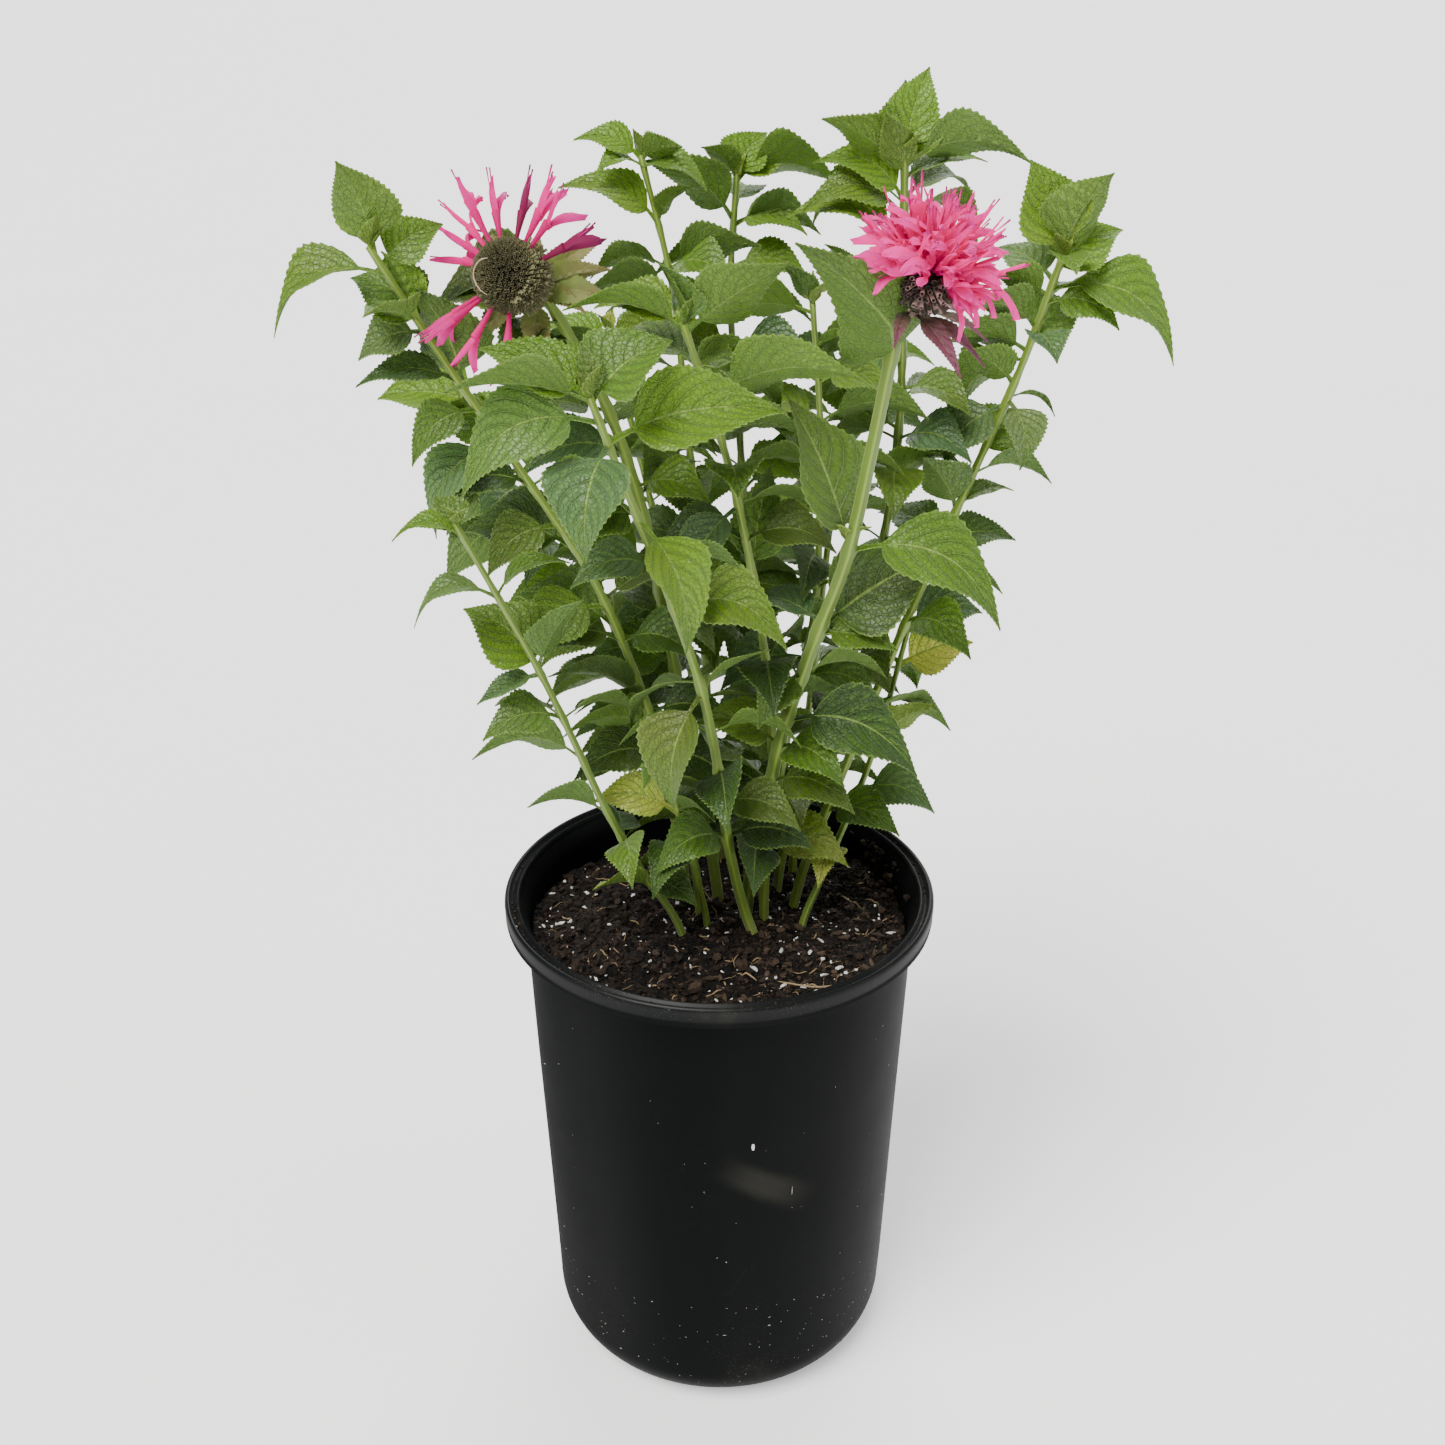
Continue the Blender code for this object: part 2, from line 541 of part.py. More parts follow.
def build_soil(collection):
    bottom = corner_arc(FOOT_RADIUS - WALL - FIT, FLOOR + FIT, CORNER - FLOOR, 3)
    edge = wall_radius(SOIL_LEVEL) - WALL - 2.0 * FIT
    profile = [(edge * ring / SOIL_RINGS, SOIL_LEVEL) for ring in range(SOIL_RINGS + 1)]
    profile += bottom + [(0.0, FLOOR + FIT)]
    mesh = bake(turned("soil_blank", profile, collection), "soil")
    for vertex in mesh.vertices:
        if abs(vertex.co.z - SOIL_LEVEL * MM) < 0.01 * MM:
            vertex.co.z = soil_height(vertex.co.x / MM, vertex.co.y / MM) * MM
    soil = add_object("soil", mesh, collection)
    soil.data.materials.append(make_material("potting soil", (0.035, 0.022, 0.015), 0.95))
    return soil


def smooth_route(points, count):
    """Evenly spaced points on a Catmull-Rom curve through the route's own points."""
    route = [Vector(point) for point in points]
    ends = [route[0] * 2.0 - route[1]] + route + [route[-1] * 2.0 - route[-2]]
    dense = []
    for index in range(1, len(ends) - 2):
        p0, p1, p2, p3 = ends[index - 1:index + 3]
        for step in range(12):
            t = step / 12.0
            dense.append(0.5 * (2.0 * p1 + (p2 - p0) * t + (2.0 * p0 - 5.0 * p1 + 4.0 * p2 - p3) * t * t
                                + (3.0 * p1 - p0 - 3.0 * p2 + p3) * t ** 3))
    dense.append(route[-1])
    lengths = [0.0]
    for first, second in zip(dense, dense[1:]):
        lengths.append(lengths[-1] + (second - first).length)
    samples = []
    for index in range(count):
        target = lengths[-1] * index / (count - 1)
        place = max(1, next(i for i, value in enumerate(lengths) if value >= target - 1e-9))
        share = (target - lengths[place - 1]) / (lengths[place] - lengths[place - 1])
        samples.append(dense[place - 1].lerp(dense[place], share))
    return samples


def node_point(samples, height):
    """The point on the stem at a height."""
    for first, second in zip(samples, samples[1:]):
        if first.z <= height <= second.z:
            return first.lerp(second, (height - first.z) / (second.z - first.z))
    return samples[-1].copy()


def stem_mesh(name, samples, radii, collection):
    """A four-sided tapering stem along its samples, in millimetres."""
    curve = bpy.data.curves.new(name, "CURVE")
    curve.dimensions = "3D"
    curve.bevel_depth = MM
    curve.bevel_resolution = 0
    curve.use_fill_caps = True
    spline = curve.splines.new("POLY")
    spline.points.add(len(samples) - 1)
    for point, place, radius in zip(spline.points, samples, radii):
        point.co = (*(place * MM), 1.0)
        point.radius = radius
    thing = bpy.data.objects.new(name, curve)
    collection.objects.link(thing)
    return bake(thing, name)


def taper(radius, count):
    return [radius[0] + (radius[1] - radius[0]) * index / (count - 1) for index in range(count)]


def half_width(share, petiole, widest):
    """Half width of a leaf at a share of its length: a stalk, then an ovate blade."""
    if share <= petiole:
        return PETIOLE_HALF
    blade = (share - petiole) / (1.0 - petiole)
    return max(TIP_HALF, widest * math.sin(math.pi * blade ** 0.56) ** 1.1)


def leaf_frame(reach, turn):
    """Width and face directions of a leaf, the face turned towards the front by an angle."""
    along = reach.normalized()
    flat = Vector((reach.x, reach.y, 0.0))
    if flat.length < 0.15 * reach.length:
        flat = flat + FRONT * 0.3 * reach.length
    side = UP.cross(flat).normalized()
    side = (side - along * side.dot(along)).normalized()
    face = along.cross(side)
    if face.z < 0.0 and abs(face.z) > 0.2:
        face = -face
        side = -side
    lean = side if side.dot(FRONT) * face.dot(FRONT) >= 0.0 else -side
    square_on = math.atan2(abs(side.dot(FRONT)), abs(face.dot(FRONT)))
    angle = min(math.radians(turn), square_on)
    new_face = face * math.cos(angle) + lean * math.sin(angle)
    return new_face.cross(along).normalized(), new_face


def leaf_shape(root, reach, bow, ratio, turn, thick, start=0.0):
    """One leaf blade with its stalk, bowed along its midrib and folded across it.

    A start above zero leaves out that share of the length next to the stem."""
    length = reach.length
    rows = 3 if length < FOUR_ROWS else 4 if length < FIVE_ROWS else 5
    columns = 1 if length < FOLDED_LENGTH else 2
    petiole = 0.16 if length > 20.0 else 0.12
    widest = 0.5 * BREADTH * ratio * length
    side, face = leaf_frame(reach, turn)
    rise = (UP - reach * (UP.dot(reach) / reach.length_squared)).normalized()
    middle = root + 0.5 * reach + 2.0 * bow * rise
    shape = bmesh.new()
    bmesh.ops.create_grid(shape, x_segments=columns, y_segments=rows, size=1.0)
    shares = []
    for vertex in shape.verts:
        row = round((vertex.co.y + 1.0) * 0.5 * rows)
        share = row / rows
        shares.append(share)
        across = round(vertex.co.x)
        half = half_width(share, petiole, widest)
        if across and 1 < row < rows:
            half *= 1.0 + (TOOTH if row % 2 else -TOOTH)
        spine = root.lerp(middle, share).lerp(middle.lerp(root + reach, share), share)
        spine = spine + side * across * half + face * abs(across) * half * FOLD
        vertex.co = spine * MM
    inner = [vertex for vertex, share in zip(shape.verts, shares) if share < start]
    bmesh.ops.delete(shape, geom=inner, context="VERTS")
    bmesh.ops.triangulate(shape, faces=shape.faces)
    bmesh.ops.recalc_face_normals(shape, faces=shape.faces)
    bmesh.ops.solidify(shape, geom=shape.faces[:], thickness=thick * MM)
    bmesh.ops.recalc_face_normals(shape, faces=shape.faces)
    return shape


def turned_reach(reach, turn, lift, size):
    """A leaf's reach turned round the Z axis, lifted and shortened."""
    spun = Matrix.Rotation(math.radians(turn), 3, "Z") @ reach
    level = UP.cross(spun)
    if level.length > 0.1:
        spun = Matrix.Rotation(math.radians(-lift), 3, level.normalized()) @ spun
    return spun * size


def written_out(pairs):
    """Plain pairs, from the top down, each written out as its two leaves."""
    leaves = []
    for height, heading, length in reversed(pairs):
        for angle in (math.radians(heading), math.radians(heading + 180.0)):
            leaves.append((height, length * math.cos(angle), length * math.sin(angle),
                           -PAIR_DROOP * length, PAIR_BOW * length, PAIR_RATIO, PAIR_TURN))
    return leaves


def all_leaves(shoot):
    return list(reversed(shoot["leaves"])) + written_out(shoot["pairs"])


def fill_leaves(shoot):
    return shoot["fill"] + written_out(shoot["fill_pairs"])


def leaf_choices():
    return [(turn, lift, size) for size in SIZES for lift in LIFTS for turn in TURNS]


def place_leaf(name, samples, leaf, blockers, own_blades):
    """The first way of bending the leaf that keeps it clear of every blocker, and its blade
    clear of the blades on its own stem."""
    height, right, away, rise, bow, ratio, front_turn = leaf
    root = node_point(samples, height)
    reach = Vector((right, away, rise))
    for turn, lift, size in leaf_choices():
        moved = turned_reach(reach, turn, lift, size)
        test = leaf_shape(root, moved, bow * size, ratio, front_turn, LEAF_THICK + 2.0 * CLEARANCE)
        tree = BVHTree.FromBMesh(test)
        test.free()
        if any(tree.overlap(other) for other in blockers):
            continue
        test = leaf_shape(root, moved, bow * size, ratio, front_turn, LEAF_THICK, BLADE_START)
        blade = BVHTree.FromBMesh(test)
        test.free()
        if any(blade.overlap(other) for other in own_blades):
            continue
        solid = leaf_shape(root, moved, bow * size, ratio, front_turn, LEAF_THICK)
        return mesh_from_bmesh(name, solid), tree, blade
    return None, None, None


def tree_of(mesh):
    shape = bmesh.new()
    shape.from_mesh(mesh)
    tree = BVHTree.FromBMesh(shape)
    shape.free()
    return tree


def direction(polar, angle):
    """The unit direction at an angle from local Z and an angle round it."""
    flat = math.sin(polar)
    return Vector((flat * math.cos(angle), flat * math.sin(angle), math.cos(polar)))


def petal_shape(base, out, length, width, droop, side):
    """A narrow floret: a slim tube that widens into a bent lip."""
    rows = 2
    shape = bmesh.new()
    bmesh.ops.create_grid(shape, x_segments=1, y_segments=rows, size=1.0)
    for vertex in shape.verts:
        row = round((vertex.co.y + 1.0) * 0.5 * rows)
        share = row / rows
        half = 0.5 * width * PETAL_FORM[row]
        spine = base + out * length * share + UP * droop * share * share
        vertex.co = (spine + side * round(vertex.co.x) * half) * MM
    bmesh.ops.triangulate(shape, faces=shape.faces)
    bmesh.ops.solidify(shape, geom=shape.faces[:], thickness=PETAL_THICK * MM)
    bmesh.ops.recalc_face_normals(shape, faces=shape.faces)
    return shape


def stem_samples(name):
    """Points along a shoot's stem, ended just below its flower head where it has one."""
    route = SHOOTS[name]["route"]
    if name not in HEADS:
        return smooth_route(route, STEM_SAMPLES)
    centre, axis, below = HEADS[name]
    unit = Vector(axis).normalized()
    seat = Vector(centre) - unit * (below + 2.0 * FIT + COLLAR_HEIGHT)
    return smooth_route(route + [seat - unit * NECK_LENGTH], STEM_SAMPLES) + [seat]


def axis_frame(centre, axis):
    """A matrix that puts local Z on a head's axis and its origin at the head's centre."""
    turn = Vector(axis).normalized().to_track_quat("Z", "Y").to_matrix().to_4x4()
    return Matrix.Translation(Vector(centre) * MM) @ turn


def dome_mesh(name, radius, low, high):
    """A ball squashed to a dome between two heights, in millimetres."""
    shape = bmesh.new()
    bmesh.ops.create_icosphere(shape, subdivisions=2, radius=radius * MM)
    for vertex in shape.verts:
        vertex.co.z = min(max(vertex.co.z * FLATNESS, low * MM), high * MM)
    bmesh.ops.remove_doubles(shape, verts=shape.verts, dist=0.01 * MM)
    return mesh_from_bmesh(name, shape)


def build_bloom(collection):
    """The open head: florets in rings on a dome, a calyx cup below, then the bracts."""
    place = axis_frame(BLOOM_CENTRE, BLOOM_AXIS)
    pieces = []
    for ring, (count, tilt, length) in enumerate(BLOOM_RINGS):
        for index in range(count):
            angle = math.tau * (index + 0.5 * (ring % 2)) / count
            polar = math.radians(tilt + 5.0 * math.sin(7.0 * index + ring))
            out = direction(polar, angle)
            side = Vector((-math.sin(angle), math.cos(angle), 0.0))
            reach = length * (1.0 + 0.09 * math.sin(5.0 * index + 2.0 * ring)) - BLOOM_ROOT
            petal = petal_shape(out * BLOOM_ROOT + UP * BLOOM_RAISE, out, reach, PETAL_WIDTH,
                                -BLOOM_DROOP * tilt, side)
            pieces.append(mesh_from_bmesh("floret", petal))
    core = add_object("bloom_florets", dome_mesh("bloom_florets", BLOOM_CORE, FIT, BLOOM_CORE),
                      collection)
    fuse(core, pieces, collection)
    core.matrix_world = place
    core.data.materials.append(make_material("pink florets", (0.85, 0.07, 0.25), 0.55))
    calyx = add_object("bloom_calyx", dome_mesh("bloom_calyx", CALYX_RADIUS, -CALYX_RADIUS, 0.0),
                       collection)
    fuse(calyx, calyx_tubes(), collection)
    calyx.matrix_world = place
    calyx.data.materials.append(make_material("calyx green", (0.09, 0.12, 0.06), 0.7))
    bracts = build_bracts("bloom_bracts", place, BLOOM_BELOW, (0.23, 0.07, 0.12), BLOOM_BRACT_ANGLES)
    return [core, calyx, bracts]


def calyx_tubes():
    """Short blunt tubes round the underside of the open head."""
    tubes = []
    for index in range(CALYX_COUNT):
        angle = math.tau * index / CALYX_COUNT
        out = direction(math.radians(CALYX_TILT), angle)
        turn = out.to_track_quat("Z", "Y").to_matrix().to_4x4()
        place = Matrix.Translation(out * CALYX_REACH * MM) @ turn
        shape = bmesh.new()
        bmesh.ops.create_cone(shape, cap_ends=True, segments=5, radius1=CALYX_WIDE * MM,
                              radius2=CALYX_NARROW * MM, depth=CALYX_LENGTH * MM, matrix=place)
        tubes.append(mesh_from_bmesh("calyx_tube", shape))
    return tubes


def build_bracts(name, place, below, colour, angles):
    """Pointed bracts on a small collar under a head."""
    middle = Vector((0.0, 0.0, -below - FIT - 0.5 * COLLAR_HEIGHT))
    shape = bmesh.new()
    bmesh.ops.create_cone(shape, cap_ends=True, segments=10, radius1=COLLAR_FOOT * MM,
                          radius2=COLLAR_TOP * MM, depth=COLLAR_HEIGHT * MM,
                          matrix=Matrix.Translation(middle * MM))
    collection = bpy.data.collections[MODEL]
    collar = add_object(name, mesh_from_bmesh(name, shape), collection)
    pieces = []
    for index, degrees in enumerate(angles):
        angle = math.radians(degrees)
        spread = Vector((math.cos(angle), math.sin(angle), -0.12 - 0.1 * (index % 2)))
        root = middle + BRACT_ROOT * spread
        leaf = leaf_shape(root, spread * BRACT_LENGTH, BRACT_BOW, BRACT_RATIO, 0.0, LEAF_THICK)
        pieces.append(mesh_from_bmesh("bract", leaf))
    fuse(collar, pieces, collection)
    collar.matrix_world = place
    collar.data.materials.append(make_material(name.replace("_", " "), colour, 0.65))
    return collar


def build_seed_head(collection):
    """The spent head: a globe of raised calyx tips with the last florets on it."""
    place = axis_frame(SEED_CENTRE, SEED_AXIS)
    shape = bmesh.new()
    bmesh.ops.create_icosphere(shape, subdivisions=2, radius=SEED_RADIUS * MM)
    poked = bmesh.ops.poke(shape, faces=shape.faces[:])
    for vertex in poked["verts"]:
        vertex.co += vertex.co.normalized() * SEED_PIMPLE * MM
    globe = add_object("seed_head", mesh_from_bmesh("seed_head", shape), collection)
    pieces = []
    for index, degrees in enumerate(SEED_FLORET_ANGLES):
        angle = math.radians(degrees)
        polar = math.radians(SEED_FLORET_TILT + SEED_FLORET_SWAY * math.sin(5.0 * index))
        out = direction(polar, angle)
        side = Vector((-math.sin(angle), math.cos(angle), 0.0))
        petal = petal_shape(out * 0.8 * SEED_RADIUS, out, SEED_FLORET_REACH, PETAL_WIDTH,
                            SEED_FLORET_DROOP, side)
        pieces.append(mesh_from_bmesh("floret", petal))
    fuse(globe, pieces, collection)
    globe.matrix_world = place
    globe.data.materials.append(make_material("seed head olive", (0.11, 0.09, 0.04), 0.8))
    bracts = build_bracts("seed_head_bracts", place, SEED_BELOW, (0.22, 0.25, 0.10), SEED_BRACT_ANGLES)
    return [globe, bracts]


def build_shoots(collection, solids):
    """Every stem first, then its leaves, each bent clear of what stands there already."""
    green = make_material("leaf green", (0.11, 0.22, 0.045), 0.5)
    stems = {}
    for name, shoot in SHOOTS.items():
        samples = stem_samples(name)
        radii = taper(shoot["radius"], len(samples))
        mesh = stem_mesh(name, samples, radii, collection)
        wide = stem_mesh(name, samples, [radius + CLEARANCE for radius in radii], collection)
        stems[name] = (samples, radii, mesh, tree_of(wide))
        bpy.data.meshes.remove(wide)
    placed = {name: [] for name in SHOOTS}
    blades = {name: [stems[name][3]] for name in SHOOTS}
    pieces = {name: [] for name in SHOOTS}
    for leaves_of in (all_leaves, fill_leaves):
        for name, shoot in SHOOTS.items():
            blockers = list(solids)
            blockers += [stem[3] for other, stem in stems.items() if other != name]
            blockers += [tree for other, trees in placed.items() if other != name for tree in trees]
            for leaf in leaves_of(shoot):
                solid, tree, blade = place_leaf(name + "_leaf", stems[name][0], leaf, blockers,
                                                blades[name])
                if solid is None:
                    continue
                pieces[name].append(solid)
                placed[name].append(tree)
                blades[name].append(blade)
    for name in SHOOTS:
        fuse(add_object(name, stems[name][2], collection, green), pieces[name], collection)
    return stems


def build_holes(soil, stems, cutters):
    for name, (samples, radii, mesh, own) in stems.items():
        lower = [point for point in samples if point.z < SOIL_LEVEL + HOLE_OVERSHOOT]
        lower = samples[:len(lower) + 1]
        lower[0] = lower[0] - UP * FIT
        hole = stem_mesh("hole_" + name, lower, [radius + 1.5 * FIT for radius in radii], cutters)
        cut(soil, add_object("hole_" + name, hole, cutters))


def main():
    clear_scene()
    collection = make_collection(MODEL)
    cutters = make_collection("cutters")
    pot = build_pot(collection, cutters)
    soil = build_soil(collection)
    heads = build_bloom(collection) + build_seed_head(collection)
    bpy.context.view_layer.update()
    graph = bpy.context.evaluated_depsgraph_get()
    solids = []
    for thing in [pot, soil] + heads:
        mesh = bpy.data.meshes.new_from_object(thing.evaluated_get(graph))
        mesh.transform(thing.matrix_world)
        solids.append(tree_of(mesh))
        bpy.data.meshes.remove(mesh)
    stems = build_shoots(collection, solids)
    build_holes(soil, stems, cutters)


main()
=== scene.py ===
"""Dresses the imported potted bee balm: fine leaves, stems, flowers, soil and pot round its frame."""
import math
import random

import bmesh
import bpy
from bpy.props import FloatProperty, FloatVectorProperty, IntProperty, PointerProperty
from mathutils import Matrix, Vector, noise
from mathutils.bvhtree import BVHTree


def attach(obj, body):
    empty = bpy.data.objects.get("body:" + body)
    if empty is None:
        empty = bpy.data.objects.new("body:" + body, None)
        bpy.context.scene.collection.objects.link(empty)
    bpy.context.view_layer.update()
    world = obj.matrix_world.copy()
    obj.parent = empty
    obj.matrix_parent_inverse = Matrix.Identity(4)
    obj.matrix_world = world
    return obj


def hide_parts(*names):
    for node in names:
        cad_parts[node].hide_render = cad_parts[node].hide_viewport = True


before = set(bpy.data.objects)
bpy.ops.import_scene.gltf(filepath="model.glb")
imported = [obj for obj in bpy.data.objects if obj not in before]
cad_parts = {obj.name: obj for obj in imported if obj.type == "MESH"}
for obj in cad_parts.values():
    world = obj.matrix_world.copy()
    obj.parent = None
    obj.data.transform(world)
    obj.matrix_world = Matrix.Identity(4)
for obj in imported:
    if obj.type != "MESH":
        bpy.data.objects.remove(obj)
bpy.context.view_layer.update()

bl_info = {
    "name": "Potted bee balm",
    "version": (1, 0, 0),
    "blender": (4, 5, 0),
    "location": "3D View > Sidebar > Bee balm",
    "description": "Makes the fine leaves, flowers, soil and pot of a potted bee balm",
    "category": "Object",
}

MM = 0.001
UP = Vector((0.0, 0.0, 1.0))
FRONT = Vector((0.0, -1.0, 0.0))

# The main dimensions of the solids, in millimetres
POT_HEIGHT = 228.0
RIM_RADIUS = 92.5
RIM_DEPTH = 9.0
RIM_WIDTH = 6.5
NECK_RADIUS = 84.0
FOOT_RADIUS = 76.8
CORNER = 20.7
WALL = 1.8
FLOOR = 2.4
DRAIN_COUNT = 8
DRAIN_CIRCLE = 50.0
DRAIN_RADIUS = 5.0
FIT = 0.3
SOIL_LEVEL = 210.0
SOIL_FRONT_RISE = 0.075
SOIL_RIGHT_FALL = 0.02
CLUMP = 1.1
PETIOLE_HALF = 0.85
TIP_HALF = 0.35
FOLD = 0.28
BREADTH = 1.2
FOLDED_LENGTH = 44.0
FOUR_ROWS = 37.0
FIVE_ROWS = 50.0
PAIR_BOW = 0.22
PAIR_DROOP = 0.12
PAIR_RATIO = 0.5
PAIR_TURN = 35
TOOTH = 0.12
STEM_SAMPLES = 8

